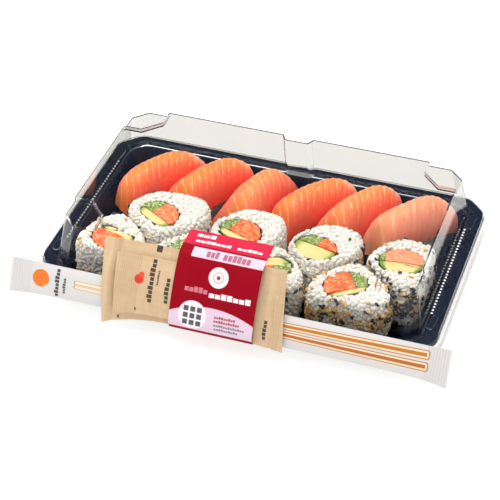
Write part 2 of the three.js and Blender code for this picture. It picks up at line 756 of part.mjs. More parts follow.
function makePack() {
  const pack = new THREE.Group();
  pack.add(
    piece("tray", makeTray(), MATERIALS.tray),
    piece("lid", makeLid(), MATERIALS.lid),
    piece("band", makeBand(), MATERIALS.band),
    piece("soy_sachet", makeSoy(), MATERIALS.kraft),
    piece("wasabi_sachet", makeWasabi(), MATERIALS.kraft),
    piece("chopstick_sleeve", makeSleeve(), MATERIALS.paper),
  );
  NIGIRI_PLACES.forEach((place, index) => {
    const start = new THREE.Vector2(...place.from);
    const along = new THREE.Vector2(...place.to).sub(start);
    const { fish, rice } = makeNigiri(along.length(), place, NIGIRI_ENDS[index]);
    const nigiri = new THREE.Group();
    const middle = start.addScaledVector(along, 0.5);
    nigiri.position.set(middle.x, middle.y, 0);
    nigiri.rotation.z = along.angle();
    nigiri.add(piece(`nigiri_${index + 1}_fish`, fish, MATERIALS.fish));
    nigiri.add(piece(`nigiri_${index + 1}_rice`, rice, MATERIALS.rice));
    pack.add(nigiri);
  });
  ROLL_PLACES.forEach((place, index) => {
    const roll = { ...place, ...ROLL_FILLINGS[index] };
    const random = randomFrom(41 + index);
    const name = `roll_${ROLL_NAMES[index]}`;
    const group = new THREE.Group();
    group.position.set(...roll.at, TRAY.floor + GAP);
    group.add(piece(`${name}_rice`, makeRollRice(roll, random), MATERIALS.rice));
    group.add(piece(`${name}_nori`, makeNori(roll), MATERIALS.nori));
    for (const [filling, geometry] of makeFillings(roll, random)) {
      group.add(piece(`${name}_${filling}`, geometry, MATERIALS[filling]));
    }
    pack.add(group);
  });
  return pack;
}

/** Moves the pack so that its origin lies under the middle of its own box. */
function standOnOrigin(pack) {
  const box = new THREE.Box3().setFromObject(pack, true);
  const middle = box.getCenter(new THREE.Vector3());
  pack.position.set(-middle.x, -middle.y, -box.min.z);
  return new THREE.Group().add(pack);
}

export default standOnOrigin(makePack());
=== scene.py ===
"""Finished look of a shut takeaway sushi tray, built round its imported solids.

Lengths in the shape functions are millimetres, measured from the middle of the tray's rim with the rim's
top at height 0. Meshes are written in metres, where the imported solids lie.
"""

import math

import bmesh
import bpy
import numpy as np
from bpy.props import FloatProperty, FloatVectorProperty, IntProperty, PointerProperty
from bpy.types import Operator, Panel, PropertyGroup
from mathutils import Matrix, Vector, noise


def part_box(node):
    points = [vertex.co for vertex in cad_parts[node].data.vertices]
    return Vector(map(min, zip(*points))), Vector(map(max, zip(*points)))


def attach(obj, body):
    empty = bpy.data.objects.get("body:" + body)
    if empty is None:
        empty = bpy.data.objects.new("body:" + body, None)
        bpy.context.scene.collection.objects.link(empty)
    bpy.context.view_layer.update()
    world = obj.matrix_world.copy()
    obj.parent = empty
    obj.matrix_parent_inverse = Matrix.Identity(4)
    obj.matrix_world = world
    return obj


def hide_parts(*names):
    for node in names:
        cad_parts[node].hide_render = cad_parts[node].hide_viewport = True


bl_info = {
    "name": "Takeaway sushi tray",
    "version": (1, 0, 0),
    "blender": (4, 5, 0),
    "location": "View3D > Sidebar > Sushi tray",
    "description": "Builds the finished look of a shut takeaway sushi tray round its packed solids",
    "category": "Add Mesh",
}

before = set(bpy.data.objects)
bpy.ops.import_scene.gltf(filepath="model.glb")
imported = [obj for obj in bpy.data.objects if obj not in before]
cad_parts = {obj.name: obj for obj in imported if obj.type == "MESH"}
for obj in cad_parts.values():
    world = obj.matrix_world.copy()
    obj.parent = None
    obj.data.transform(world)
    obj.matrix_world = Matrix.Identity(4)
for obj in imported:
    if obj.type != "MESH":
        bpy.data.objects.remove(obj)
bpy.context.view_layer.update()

MM = 0.001
FULL_TURN = 6.283  # radians
TRAY_LOW, TRAY_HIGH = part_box("tray")
RIM_MIDDLE = np.array([(TRAY_LOW.x + TRAY_HIGH.x) / 2, (TRAY_LOW.y + TRAY_HIGH.y) / 2, TRAY_HIGH.z])

# ---------------------------------------------------------------- driving sizes, in millimetres

GAP = 0.3  # between pieces that touch

TRAY_RIM_REACH = 111.7  # from the middle to the rim's outer edge
TRAY_ENDS_WIDER = 2.2  # how much further the rim reaches past the short sides than past the long ones
TRAY_FLOOR_REACH = 97.5
TRAY_FLOOR = -17.0  # height of the floor's upper side
TRAY_WALL = 0.9
TRAY_FLAT = 60.0  # reach within which base and floor are one flat face each
TRAY_BASE_TURN = 1.5  # how far from the base's corner its rounding begins
TRAY_LEDGE = 104.5  # reach at which the inner wall meets the ledge under the lid
TRAY_LEDGE_DROP = 2.0  # how far that ledge lies under the rim's top
TRAY_STEP = 107.2  # reach at which the ledge rises to the rim's top
TRAY_LIP = 4.0  # depth of the lip round the rim
FOOT_HEIGHT = 1.3
FOOT_INNER = 52.0  # where a foot begins and ends along X, from the middle
FOOT_OUTER = 92.0
SIDE_DIFFERENCE = 42.8  # how much less every outline reaches along Y than along X
CORNER_CUT = 7.5  # how much each corner loses along both sides, at the reach below
CORNER_REACH = 105.0

LID_TOP = 29.6  # heights of the lid's flat top and of its flange
FLANGE_TOP = 0.9
ROW_REACH = 106.3  # the pressed row along each short side of the flange
ROW_HALF = 38.0
PIPS_APART = 2.6
PIP_SIZE = (1.3, 1.1, 0.9)
FOLD_WIDTH = 0.6  # of the soft fold along each edge of the dome
FOLD_ANGLE = 15  # degrees between two walls, past which the edge between them is folded softly
FOLDS_ABOVE = 1.2  # how high over the rim the folds begin

FISH_EDGE = -14.0  # height of a slice's lower edge
FISH_BEND = math.radians(82)  # how far a slice bends down on each side of its ridge
FISH_FULLNESS = 0.5  # power of the arch across a slice: the less it is, the fuller the arch
FISH_FRONT_FALL = 0.86  # share of the height that the front end loses in all
FISH_FRONT_TURN = 12  # how sharply the front end turns down
FISH_FLARE = 0.01  # how much wider a slice grows towards its front, as a share
FISH_TAPER = 0.16  # how much of its width, squared, a slice loses towards both ends
FISH_ROUND = 0.1  # how much shorter its side edges are than its ridge, as a share
FISH_DENTS = (13, 2.6)  # lengths of its coarse and fine dents
FISH_DEPTHS = (0.5, 0.14, 0.24)  # how deep both are, and the grooves at the lines of fat
FISH_DRAWN_IN = 0.4  # how far all its skin is drawn in for them
FISH_THICK = 5.5
FISH_SIDE_THICK = 0.75 * FISH_THICK
FISH_END_THICK = 0.8
FISH_ARC = 1.4  # from a slice's ridge to its side edge over the flesh, for each millimetre of half width
FISH_STEPS = (130, 44)
RICE_SHORT = 5.0  # how much further inside the fish the rice ends, front and rear
PAD_GRAINS_WIDER = 1.15  # spacing of the grains under a slice, as a share of that on a roll
PAD_FOOT = TRAY_FLOOR + GAP + 0.2  # height of the underside of the rice
GRAIN_HIGH = 0.9  # height of a grain of rice and of a sesame seed, as a share of its width
SEED_HIGH = 0.5
GRAINS_LIE = {"Density": 500000.0, "Tilt": 0.28}
FAT_LEAN = 0.56  # how far the lines of fat slant towards the front, for each millimetre sideways
FAT_APART = 4.4
PALE_FAT_APART = 7.0  # on a pale slice, whose lines are broader
# Where the ridge of each slice begins and ends, its half width, the height of its ridge and how pale it is,
# then its ends: the shares of that height lost at its front and rear, how far its left side leads at the
# front, and how much further it spreads there, as a share of the half width.
NIGIRI = [
    ((-92.2, 6.8), (-58.2, 53.5), 12.2, 15.6, 0.0, (0.4, 0.45, 0, 0)),
    ((-57.5, 11.5), (-29.7, 53.2), 12.5, 15.4, 0.0, (0.2, 0.3, 12, 0.1)),
    ((-22.7, 9.8), (-3.8, 53.6), 12.6, 15.2, 0.2, (0.6, 0.5, 6, 0.5)),
    ((2.9, 12.1), (35.2, 52.7), 11.8, 15.4, 0.05, (0.2, 0.3, 5, 0)),
    ((34.7, 11.4), (61.1, 52.0), 11.3, 17.8, 0.2, (0.3, 0.3, 11, 0.3)),
    ((61.4, 12.0), (94.6, 52.0), 11.8, 18.1, 0.75, (0.2, 0.4, 9, 0)),
]

ROLL_HEIGHT = 28.5
ROLL_RADIUS = 25.0
ROLL_SLACK = 0.6  # kept free on each side between two rolls
ROLL_SQUARENESS = 7  # the more it is, the sharper the corners between a roll's pressed flats
PRESS_ANGLE = 2.5  # radians: the direction of the flat at a roll's rear left
CORE_X = 12.4  # half sizes of the oval filling
CORE_Y = 10.2
CORE_KEPT = 0.25  # how much of its curve is left where it is cut nearly flat
NORI_THICK = 0.6
FILLING_AROUND = 72  # points round the filling's outline
ROLL_AROUND = 84  # points round the rice, and its steps up the side and over the top
SIDE_STEPS = 18
CROWN_STEPS = 9
ROLL_DENTS = (0.02, 9)  # how uneven a roll's side is, as a share of its radius, and over what length
CROWN_RISE = 0.7  # how far its rice domes up between side and filling
CROWN_DENTS = (0.6, 6)  # how uneven it is there, and over what length
RICE_OVER = 0.5  # how far a roll's rice stands over its own height
SEAWEED_UNDER = 0.7  # how far the seaweed's edge stays under it
# a filling's strip: its spread at each depth under its top, then the rings that close the top
STRIP_BRIM = ((1, 1.8), (1.03, 1.0), (1.025, 0.5), (0.98, 0.1))
STRIP_TOP = (0.9, 0.78, 0.65, 0.52, 0.4, 0.28, 0.16, 0.06)
STRIP_BUMPY = 1.2  # depth under its top down to which it is bumpy
GREENS_BITS = {"Length": 2.6 * MM, "Width": 1.3 * MM, "Height": 0.9 * MM, "Spacing": 0.9 * MM,
               "Density": 1500000.0, "Tilt": 1.1}
SESAME_LIE = {"Tilt": 0.35, "Lift": 0.55 * MM, "Pointed": 0.45, "Keep Surface": False}
SESAME_BARER = 0.3  # how much sesame lies on a roll's barer side, as a share of that on the other
SESAME_CROWN = 0.14  # and how much of that lies over its upper edge
SESAME_CLUMPS = (0.25, 1.5, 11)  # least cover, how much more a clump has, and the size of clumps
# how a roll bulges: share of its height, share of its radius
ROLL_SIDE = ((0, 0.88), (0.14, 0.95), (0.4, 1), (0.68, 1), (0.88, 0.985), (0.96, 0.955), (1, 0.92))
ROLL_WALLS = {0.0: 98.8, math.pi: 97.5, -math.pi / 2: 56.4, math.pi / 2: 6.3}  # direction, distance
# Each roll: middle, size, how far its rear left is from the middle, where its filling comes out on top and
# its turn, where the avocado's side of it is cut flat (a share of CORE_Y), shares of avocado and of greens,
# whether it is mirrored, extra height, how much black and tan sesame covers it, the direction that the sesame
# is thickest in, and how pale its salmon is.
ROLLS = [
    dict(name="back_1", at=(-53.5, -14.5), size=1.12, press=25.0, core=(-4.5, -2.0), turn=-30, flat=0.66,
         avocado=0.40, greens=0.36, mirror=1, rise=1.0, black=1.6, tan=0.3, thick=-150, pale=0.3),
    dict(name="back_2", at=(-8.0, -14.0), size=1.08, press=17.2, core=(-1.5, -3.0), turn=-20, flat=0.66,
         avocado=0.36, greens=0.26, mirror=1, rise=0.4, black=0.3, tan=0.15, thick=-90, pale=0.0),
    dict(name="back_3", at=(38.0, -14.5), size=1.08, press=17.0, core=(-3.2, -3.6), turn=-14, flat=0.95,
         avocado=0.60, greens=0.50, mirror=1, rise=0.6, black=1.5, tan=0.5, thick=-20, pale=0.1),
    dict(name="back_4", at=(82.0, -12.5), size=1.04, press=16.0, core=(1.0, -2.2), turn=6, flat=0.8,
         avocado=0.44, greens=0.12, mirror=1, rise=0.6, black=3.8, tan=0.8, thick=-95, pale=0.8),
    dict(name="front_1", at=(-76.0, -41.0), size=0.96, press=18.0, core=(0.5, -2.4), turn=163, flat=0.66,
         avocado=0.34, greens=0.30, mirror=1, rise=0.0, black=0.3, tan=0.7, thick=150, pale=0.0),
    dict(name="front_2", at=(-31.0, -40.0), size=0.98, press=18.0, core=(0.0, -1.0), turn=20, flat=0.8,
         avocado=0.42, greens=0.36, mirror=1, rise=0.0, black=0.8, tan=0.5, thick=-90, pale=0.1),
    dict(name="front_3", at=(15.0, -40.0), size=0.98, press=18.0, core=(0.0, -1.0), turn=205, flat=0.8,
         avocado=0.42, greens=0.40, mirror=1, rise=-0.4, black=0.9, tan=0.9, thick=-30, pale=0.1),
    dict(name="front_4", at=(60.0, -39.5), size=1.05, press=17.5, core=(-1.0, -2.0), turn=35, flat=0.66,
         avocado=0.30, greens=0.30, mirror=-1, rise=-1.0, black=2.6, tan=4.4, thick=-80, pale=0.0),
]

# Sachets, chopsticks and band lie along the line from the lid's front edge to the lip of its flange.
LEAN_TOP = np.array([-57.3, 29.9])  # y and z
LEAN_FOOT = np.array([-74.0, -4.4])
INK = "2b2724"
# Each wrapper: its ends, how far down its upper and lower edges lie at the left, middle and right, how late
# they turn away, its lean, half its thickness where it is filled and at its seals, the share inside the
# seals, and how far its middle stands off the line, at distances down it and over all that. Then come its
# mesh steps, how much it crumples, and its ridges: where an upright fold stands, how broad it is and how
# high, less than 0 for a crease. Its print comes last: seals from one distance across to another, discs with
# their radius and words with the width of a letter.
STAND_OFF = ((0, 0.6), (12, 3.2), (20, 4.6), (27, 5.3), (40, 5.4), (46, 5.0), (52, 4.4))
PAPER_CRUMPLES = (11, 4.5)  # lengths of coarse and fine crumples
PAPER_SWAY = (0.25, 30)  # how far a whole wrapper sways, as a share of its crumple, and over what length
RIDGE_WANDER = (1.2, 14)  # how far a ridge wanders, and over what length
SLEEVE = dict(
    left=-124.5, right=125.0, high=(26.4, 26.4, 26.2), low=(46.4, 44.3, 47.4), flare=10, lean=0.0,
    half=1.6, edge=0.25, seal=0.94, off=((0, 0),), over=1.6 + GAP, steps=(160, 24), crumple=0.2, ridges=(),
    seals=((-124.0, -112.0), (112.0, 124.5)),
)
SOY = dict(
    left=-69.5, right=34.0, high=(4.0, 3.2, 2.6), low=(51.5, 44.2, 46.5), flare=3, lean=2.2,
    half=1.2, edge=0.25, seal=0.86, off=STAND_OFF, over=0, steps=(140, 52), crumple=0.8,
    ridges=((-65.6, 1.6, 1.0), (-61.8, 0.9, -1.0), (-56.5, 2.2, 0.4), (25.2, 1.8, 0.6), (28.8, 0.7, -0.8)),
    seals=((29.8, 33.5),), discs=(),
    words=(((-40.4, 4.9), (2.2, 2.2), 4.4, INK), ((25.0, 36.0), (1.1, 5.6), 2.2, INK),
           ((-58.0, 46.0), (0.9, 0.9), 1.0, INK)),
)
WASABI = dict(
    left=-61.4, right=4.0, high=(10.0, 9.5, 9.5), low=(44.4, 41.0, 41.0), flare=3, lean=0.9,
    half=0.8, edge=0.2, seal=0.8, off=STAND_OFF, over=SOY["half"] + 0.8 + 0.5, steps=(72, 40), crumple=0.6,
    ridges=(), seals=((-61.0, -47.0),),
    discs=(((-47.6, 22.2), 2.6, "e0301c"), ((-46.4, 19.6), 1.6, "ee4a2c")),
    words=(((-40.6, 22.0), (1.5, 12.0), 2.4, INK), ((-37.0, 19.5), (0.6, 4.0), 1.2, "4a443e"),
           ((-31.2, 25.5), (1.3, 7.0), 2.4, INK), ((-48.0, 39.0), (0.8, 0.8), 0.9, INK)),
)
BAND_LEFT = -28.0
BAND_RIGHT = 19.5
BAND_THICK = 0.4
BAND_FLAP_END = -44.3  # where it ends along Y, on the lid and under the tray
BAND_TAIL_END = -22.0
BAND_BENDS = ((7, 0), (0.7, 0), (-2.3, -0.5))  # where it bends: y from the fold and z from the flap
BAND_CLOSER = (10, 0.1)  # how far down from the fold it closes in on the sachets, and how fast
BAND_FOOT = ((-83.1, -5.2), (-82.5, -7.8), (-80.2, -10.1))  # y and z, where it turns back under the tray
BAND_UNDER = ((-5, -0.1), (5, 0))  # where it passes under the base's edge: y from there and z from the tail
BAND_STATIONS = (3, 7, 12, 16, 20, 24, 30, 36, 41)  # distances down from the fold that its route passes
BAND_SLACK = 1.2  # kept free over both sachets
BAND_BOW = 0.25  # how far its front bows out in the middle
BAND_BOWED = 10  # how far from its ends the front bows out in full
BAND_FRONT = 44  # where its front ends, down from the fold
BAND_ACROSS = 16  # steps across it

# The camera, in the same millimetres.
CAMERA_PLACE = (247.3, -738.3, 617.7)
CAMERA_TURN = 19.202  # degrees round the pack, from the front towards the right
CAMERA_RISE = 38.937
CAMERA_ROLL = -0.646
CAMERA_LENS = 125.86
CAMERA_SENSOR = 36.0

# The stage, in metres: each light's size, its place and the setting that holds its power.
PACK_MIDDLE = (0, 0, 0.02)
LIGHTS = {
    "overhead": ((0.9, 0.9), (-0.15, 0.05, 0.95), "key"),
    "left strip": ((0.25, 0.9), (-0.8, 0.1, 0.4), "side"),
}
FLOOR_RADII = (3.0, 1.0, 0.3)
FLOOR_AROUND = 48


# ---------------------------------------------------------------- what a user would change


def amount(label, text, default, **more):
    return FloatProperty(name=label, description=text, default=default, min=0, **more)


def length(label, text, default):
    return amount(label, text, default, unit="LENGTH", precision=5)


def colour(label, text, default):
    """A colour property whose default is a six-figure hex colour."""
    return FloatVectorProperty(name=label, description=text, default=linear(default)[:3], subtype="COLOR",
                               size=3, min=0, max=1)


def linear(code):
    """A hex colour such as "ff8000" as linear RGBA."""
    parts = [int(code[i:i + 2], 16) / 255 for i in (0, 2, 4)]
    return tuple(((p + 0.055) / 1.055) ** 2.4 if p > 0.04045 else p / 12.92 for p in parts) + (1.0,)


class RiceSizes(PropertyGroup):
    grain_length: length("Grain Length", "Length of a cooked grain", 0.0042)
    grain_width: length("Grain Width", "Width of a cooked grain", 0.0026)
    spacing: length("Grain Spacing", "Least distance between the middles of two grains", 0.00175)
    inset: length("Core Inset", "How far the packed core lies inside the rice's surface", 0.0008)
    seed: IntProperty(name="Seed", description="Seed of the scattered grains", default=3)


class SesameSizes(PropertyGroup):
    seed_length: length("Seed Length", "Length of a sesame seed", 0.0037)
    seed_width: length("Seed Width", "Width of a sesame seed", 0.0024)
    black_density: amount("Black Density", "Black seeds on a square metre", 42000)
    tan_density: amount("Tan Density", "Tan seeds on a square metre", 44000)


class FoodColours(PropertyGroup):
    rice: colour("Rice", "Cooked rice", "f8f0e3")
    # The ridge colour is lighter as painted top light, and the foot colour is darker as painted shade
    fish_lit_ridge: colour("Fish Ridge", "Top of a slice of fish", "ff8a36")
    fish_side: colour("Fish Side", "Sides of a slice of fish", "ff6843")
    fish_shaded_foot: colour("Fish Foot", "Lower sides of a slice of fish", "ff574a")
    fish_fat: colour("Fish Fat", "Lines of fat", "ffd49a")
    salmon: colour("Salmon Filling", "Diced fish in the rolls", "fc4a16")
    avocado: colour("Avocado", "Flesh of the avocado", "f8d68a")
    avocado_skin: colour("Avocado Rim", "Flesh next to the skin", "7d9c34")
    greens: colour("Greens", "Chopped greens", "a4ba5c")
    seaweed: colour("Seaweed", "Pressed seaweed", "1d241c")


class PackColours(PropertyGroup):
    tray: colour("Tray", "Moulded plastic of the tray", "10182a")
    kraft: colour("Kraft", "Sachet paper", "d8b48b")
    paper: colour("Paper", "Chopstick sleeve", "dfdbd8")
    band: colour("Band", "Main field of the label band", "980019")
    # The flap's colour is lighter as painted light from above
    band_lit_flap: colour("Band Flap", "Top flap of the label band", "d62c4a")
    band_pale: colour("Band Pale", "Pale fields of the label band", "e6cdde")


class StageSettings(PropertyGroup):
    floor: colour("Floor", "Plain floor", "9c9c9a")
    sky: amount("Sky", "Strength of the light from all round", 0.75)
    key: amount("Key Light", "Power of the large light overhead", 7.5, unit="POWER")
    side: amount("Side Light", "Power of the strip at the left", 1.3, unit="POWER")


SETTINGS = {
    "sushi_rice": RiceSizes,
    "sushi_sesame": SesameSizes,
    "sushi_food": FoodColours,
    "sushi_pack": PackColours,
    "sushi_stage": StageSettings,
}


# ---------------------------------------------------------------- points and meshes


def metres(points):
    return np.asarray(points, float) * MM + RIM_MIDDLE


def oriented(points, faces):
    """The faces, turned round if the closed body that they make is inside out."""
    points = points - points.mean(axis=0)
    volume = 0.0
    for face in faces:
        first = points[face[0]]
        for i in range(1, len(face) - 1):
            volume += np.dot(first, np.cross(points[face[i]], points[face[i + 1]]))
    return [tuple(reversed(face)) for face in faces] if volume < 0 else [tuple(face) for face in faces]


def joined(parts):
    """Several closed bodies of points and faces as one, each with its faces pointing outwards."""
    points, faces, start = [], [], 0
    for some, their_faces in parts:
        points.append(some)
        faces += [tuple(i + start for i in face) for face in oriented(some, their_faces)]
        start += len(some)
    return np.concatenate(points), faces


def add_object(name, data):
    made = bpy.data.objects.new(name, data)
    bpy.context.scene.collection.objects.link(made)
    return made


def build(name, points, faces, material=None, fields=None, sharp=40):
    """A mesh object from a closed body in millimetres, with values for each point as attributes."""
    points = metres(points)
    mesh = bpy.data.meshes.new(name)
    mesh.from_pydata(points.tolist(), [], oriented(points, faces))
    for field, values in (fields or {}).items():
        values = np.asarray(values, np.float32)
        kind, key = ("FLOAT", "value") if values.ndim == 1 else ("FLOAT_VECTOR", "vector")
        mesh.attributes.new(field, kind, "POINT").data.foreach_set(key, values.ravel())
    mesh.shade_smooth()
    mesh.set_sharp_from_angle(angle=math.radians(sharp))
    if material:
        mesh.materials.append(material)
    return add_object(name, mesh)


def hand_over(piece, slot, *nodes):
    """The piece rides on the pack and stands for its solids, which are hidden; the slot is not used."""
    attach(piece, "root")
    if nodes:
        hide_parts(*nodes)
    return piece


def through_rings(rings, looped):
    """A surface through rings of equal count: looped on itself, or shut by a face at each end."""
    rings = np.asarray(rings)
    total, count = rings.shape[:2]
    faces = []
    for ring in range(total if looped else total - 1):
        here, there = ring * count, (ring + 1) % total * count
        for i in range(count):
            j = (i + 1) % count
            faces.append((here + i, here + j, there + j, there + i))
    if not looped:
        faces.append(tuple(range(count - 1, -1, -1)))
        faces.append(tuple(range((total - 1) * count, total * count)))
    return rings.reshape(-1, 3), faces


def grid(steps_u, steps_v):
    """Values of u and v from -1 to 1, in even steps."""
    return np.meshgrid(np.linspace(-1, 1, steps_u + 1), np.linspace(-1, 1, steps_v + 1), indexing="ij")


def between_surfaces(steps_u, steps_v, front, back):
    """A body between two surfaces over the same grid of u and v."""
    u, v = grid(steps_u, steps_v)
    points = np.concatenate([front(u, v).reshape(-1, 3), back(u, v).reshape(-1, 3)])
    index = np.arange(u.size).reshape(u.shape)
    top = np.stack([index[:-1, :-1], index[1:, :-1], index[1:, 1:], index[:-1, 1:]], -1).reshape(-1, 4)
    rim = np.concatenate([index[:-1, 0], index[-1, :-1], index[:0:-1, -1], index[0, :0:-1]])
    after = np.roll(rim, -1)
    sides = np.stack([after, rim, rim + u.size, after + u.size], -1)
    return points, np.concatenate([top, top[:, ::-1] + u.size, sides]).tolist()


def rounded(corners, reach, steps):
    """A closed outline whose corners are curves that start a given length before each corner."""
    corners = [np.asarray(c, float) for c in corners]
    outline = []
    for i, corner in enumerate(corners):
        before, after = corners[i - 1] - corner, corners[(i + 1) % len(corners)] - corner
        start = corner + before * min(reach / np.linalg.norm(before), 0.45)
        end = corner + after * min(reach / np.linalg.norm(after), 0.45)
        for t in np.linspace(0, 1, steps + 1):
            outline.append((1 - t) ** 2 * start + 2 * t * (1 - t) * corner + t * t * end)
    return np.array(outline)


def cut_corners(path, rounds):
    """An open path with its corners cut again and again, its ends kept."""
    path = np.asarray(path, float)
    for _ in range(rounds):
        near = path[:-1] * 0.75 + path[1:] * 0.25
        far = path[:-1] * 0.25 + path[1:] * 0.75
        middle = np.stack([near, far], 1).reshape(-1, path.shape[1])
        path = np.concatenate([path[:1], middle, path[-1:]])
    return path


def ripple(points, size, seed):
    """Smooth noise from -1 to 1 at each point: size is its wavelength in millimetres."""
    shift = Vector((seed * 7.31, seed * 3.17, seed * 5.73))
    flat = np.asarray(points, float).reshape(-1, 3) / size
    values = [noise.noise(Vector(p) + shift) for p in flat]
    return np.array(values).reshape(np.asarray(points).shape[:-1])


def soft_step(value, low, high):
    t = np.clip((value - low) / (high - low), 0, 1)
    return t * t * (3 - 2 * t)


def at_height(outline, z):
    return np.column_stack([outline, np.full(len(outline), z)])


def evaluated(piece):
    """The piece with its modifiers made real and taken off."""
    graph = bpy.context.evaluated_depsgraph_get()
    mesh = bpy.data.meshes.new_from_object(piece.evaluated_get(graph))
    piece.modifiers.clear()
    piece.data = mesh
    return piece


# ---------------------------------------------------------------- node trees


class Tree:
    """Short calls for the nodes of one node tree."""

    def __init__(self, tree):
        self.tree = tree

    def feed(self, socket, value):
        if isinstance(value, bpy.types.NodeSocket):
            self.tree.links.new(value, socket)
        elif value is not None:
            socket.default_value = value

    def add(self, kind, values=None, **settings):
        made = self.tree.nodes.new(kind)
        for key, value in settings.items():
            setattr(made, key, value)
        for key, value in (values or {}).items():
            self.feed(made.inputs[key], value)
        return made

    def out(self, kind, values=None, **settings):
        """The first output of a new node."""
        return self.add(kind, values, **settings).outputs[0]

    def sockets(self, way, kind, **defaults):
        """Gives the tree itself named sockets of one kind, with their defaults."""
        for label, default in defaults.items():
            made = self.tree.interface.new_socket(name=label.replace("_", " "), in_out=way,
                                                  socket_type=f"NodeSocket{kind}")
            if default is not None:
                made.default_value = default

    def calc(self, operation, first, second=0.0, third=0.0):
        return self.out("ShaderNodeMath", {0: first, 1: second, 2: third}, operation=operation)

    def plus(self, first, second):
        return self.calc("ADD", first, second)

    def minus(self, first, second):
        return self.calc("SUBTRACT", first, second)

    def times(self, first, second):
        return self.calc("MULTIPLY", first, second)

    def scaled(self, value, factor, shift):
        return self.calc("MULTIPLY_ADD", value, factor, shift)

    def absolute(self, value):
        return self.calc("ABSOLUTE", value)

    def vector(self, x, y=0.0, z=0.0):
        return self.out("ShaderNodeCombineXYZ", {0: x, 1: y, 2: z})

    def parts(self, vector):
        return self.add("ShaderNodeSeparateXYZ", {0: vector}).outputs

    def random(self, low, high, seed):
        """A random number, or vector where the bounds are vectors, for each instance."""
        kind = "FunctionNodeRandomValue"
        if isinstance(low, tuple):
            return self.out(kind, {0: low, 1: high, "Seed": seed}, data_type="FLOAT_VECTOR")
        return self.add(kind, {2: low, 3: high, "Seed": seed}, data_type="FLOAT").outputs[1]


# ---------------------------------------------------------------- geometry nodes


def geometry_tree(name):
    """A geometry node tree to run on a piece: its short calls, with the piece as its first input."""
    tree = bpy.data.node_groups.new(name, "GeometryNodeTree")
    tree.is_modifier = True
    t = Tree(tree)
    t.sockets("INPUT", "Geometry", Surface=None)
    t.sockets("OUTPUT", "Geometry", Result=None)
    return t


def rounded_bit(t, segments):
    """A ball one unit across, with few faces, because it is repeated many times."""
    return t.out("GeometryNodeMeshUVSphere", {"Segments": segments, "Rings": 5, "Radius": 0.5})


def sized(t, piece, size):
    return t.out("GeometryNodeTransform", {"Geometry": piece, "Scale": size})


def made_real(t, instances):
    real = t.out("GeometryNodeRealizeInstances", {"Geometry": instances})
    return t.out("GeometryNodeSetShadeSmooth", {"Geometry": real})


def finish_tree(t, geometry, material):
    painted = t.out("GeometryNodeSetMaterial", {"Geometry": geometry, "Material": material})
    t.add("NodeGroupOutput", {0: painted})
    return t.tree


def scatter_tree(name, even):
    """Lays small rounded pieces on a surface, at random turns: evenly spaced, or by density."""
    t = geometry_tree(name)
    t.sockets("INPUT", "Float", Length=0.005, Width=0.0025, Height=0.0022, Spacing=0.002, Density=200000.0,
              Tilt=0.35, Lift=0.0, Pointed=0.0)
    t.sockets("INPUT", "Bool", Keep_Surface=True)
    t.sockets("INPUT", "String", Cover="cover")
    t.sockets("INPUT", "Int", Seed=1)
    t.sockets("INPUT", "Material", Material=None)
    given = t.add("NodeGroupInput").outputs
    cover = t.out("GeometryNodeInputNamedAttribute", {"Name": given["Cover"]}, data_type="FLOAT")
    if even:
        values = {"Distance Min": given["Spacing"], "Density Max": given["Density"], "Density Factor": cover}
    else:
        values = {"Density": t.times(given["Density"], cover)}
    places = t.add("GeometryNodeDistributePointsOnFaces",
                   {"Mesh": given["Surface"], "Seed": given["Seed"], **values},
                   distribute_method="POISSON" if even else "RANDOM")
    piece = rounded_bit(t, 7)
    x, y, z = t.parts(t.out("GeometryNodeInputPosition"))
    taper = t.minus(1.0, t.times(given["Pointed"], t.plus(x, 0.5)))
    shaped = t.vector(x, t.times(y, taper), z)
    piece = t.out("GeometryNodeSetPosition", {"Geometry": piece, "Position": shaped})
    piece = sized(t, piece, t.vector(given["Length"], given["Width"], given["Height"]))
    tilt = t.times(given["Tilt"], -1.0)
    turn = t.vector(t.random(tilt, given["Tilt"], 11), t.random(tilt, given["Tilt"], 12),
                    t.random(0.0, FULL_TURN, 13))
    turned = t.out("FunctionNodeRotateRotation",
                   {"Rotation": places.outputs["Rotation"],
                    "Rotate By": t.out("FunctionNodeEulerToRotation", {0: turn})}, rotation_space="LOCAL")
    lift = t.out("ShaderNodeVectorMath", {0: places.outputs["Normal"], "Scale": given["Lift"]},
                 operation="SCALE")
    points = t.out("GeometryNodeSetPosition", {"Geometry": places.outputs["Points"], "Offset": lift})
    bits = t.out("GeometryNodeInstanceOnPoints",
                 {"Points": points, "Instance": piece, "Rotation": turned,
                  "Scale": t.random((0.8, 0.85, 0.85), (1.12, 1.15, 1.15), 14)})
    tinted = t.out("GeometryNodeStoreNamedAttribute",
                   {"Geometry": bits, "Name": "tint", "Value": t.random(0.25, 1.0, 15)},
                   data_type="FLOAT", domain="INSTANCE")
    joined_up = t.add("GeometryNodeJoinGeometry")
    t.feed(joined_up.inputs[0], made_real(t, tinted))
    kept = {"Switch": given["Keep Surface"], "True": given["Surface"]}
    t.feed(joined_up.inputs[0], t.out("GeometryNodeSwitch", kept, input_type="GEOMETRY"))
    return finish_tree(t, joined_up.outputs[0], given["Material"])


def row_tree(name):
    """Sets small rounded pips, all alike, in a straight row from a start to an end."""
    t = geometry_tree(name)
    t.sockets("INPUT", "Vector", Start=None, End=None, Pip_Size=None)
    t.sockets("INPUT", "Float", Apart=0.0016)
    t.sockets("INPUT", "Material", Material=None)
    given = t.add("NodeGroupInput").outputs
    line = t.out("GeometryNodeCurvePrimitiveLine", {"Start": given["Start"], "End": given["End"]})
    points = t.out("GeometryNodeCurveToPoints", {"Curve": line, "Length": given["Apart"]}, mode="LENGTH")
    pip = sized(t, rounded_bit(t, 8), given["Pip Size"])
    pips = t.out("GeometryNodeInstanceOnPoints", {"Points": points, "Instance": pip})
    return finish_tree(t, made_real(t, pips), given["Material"])


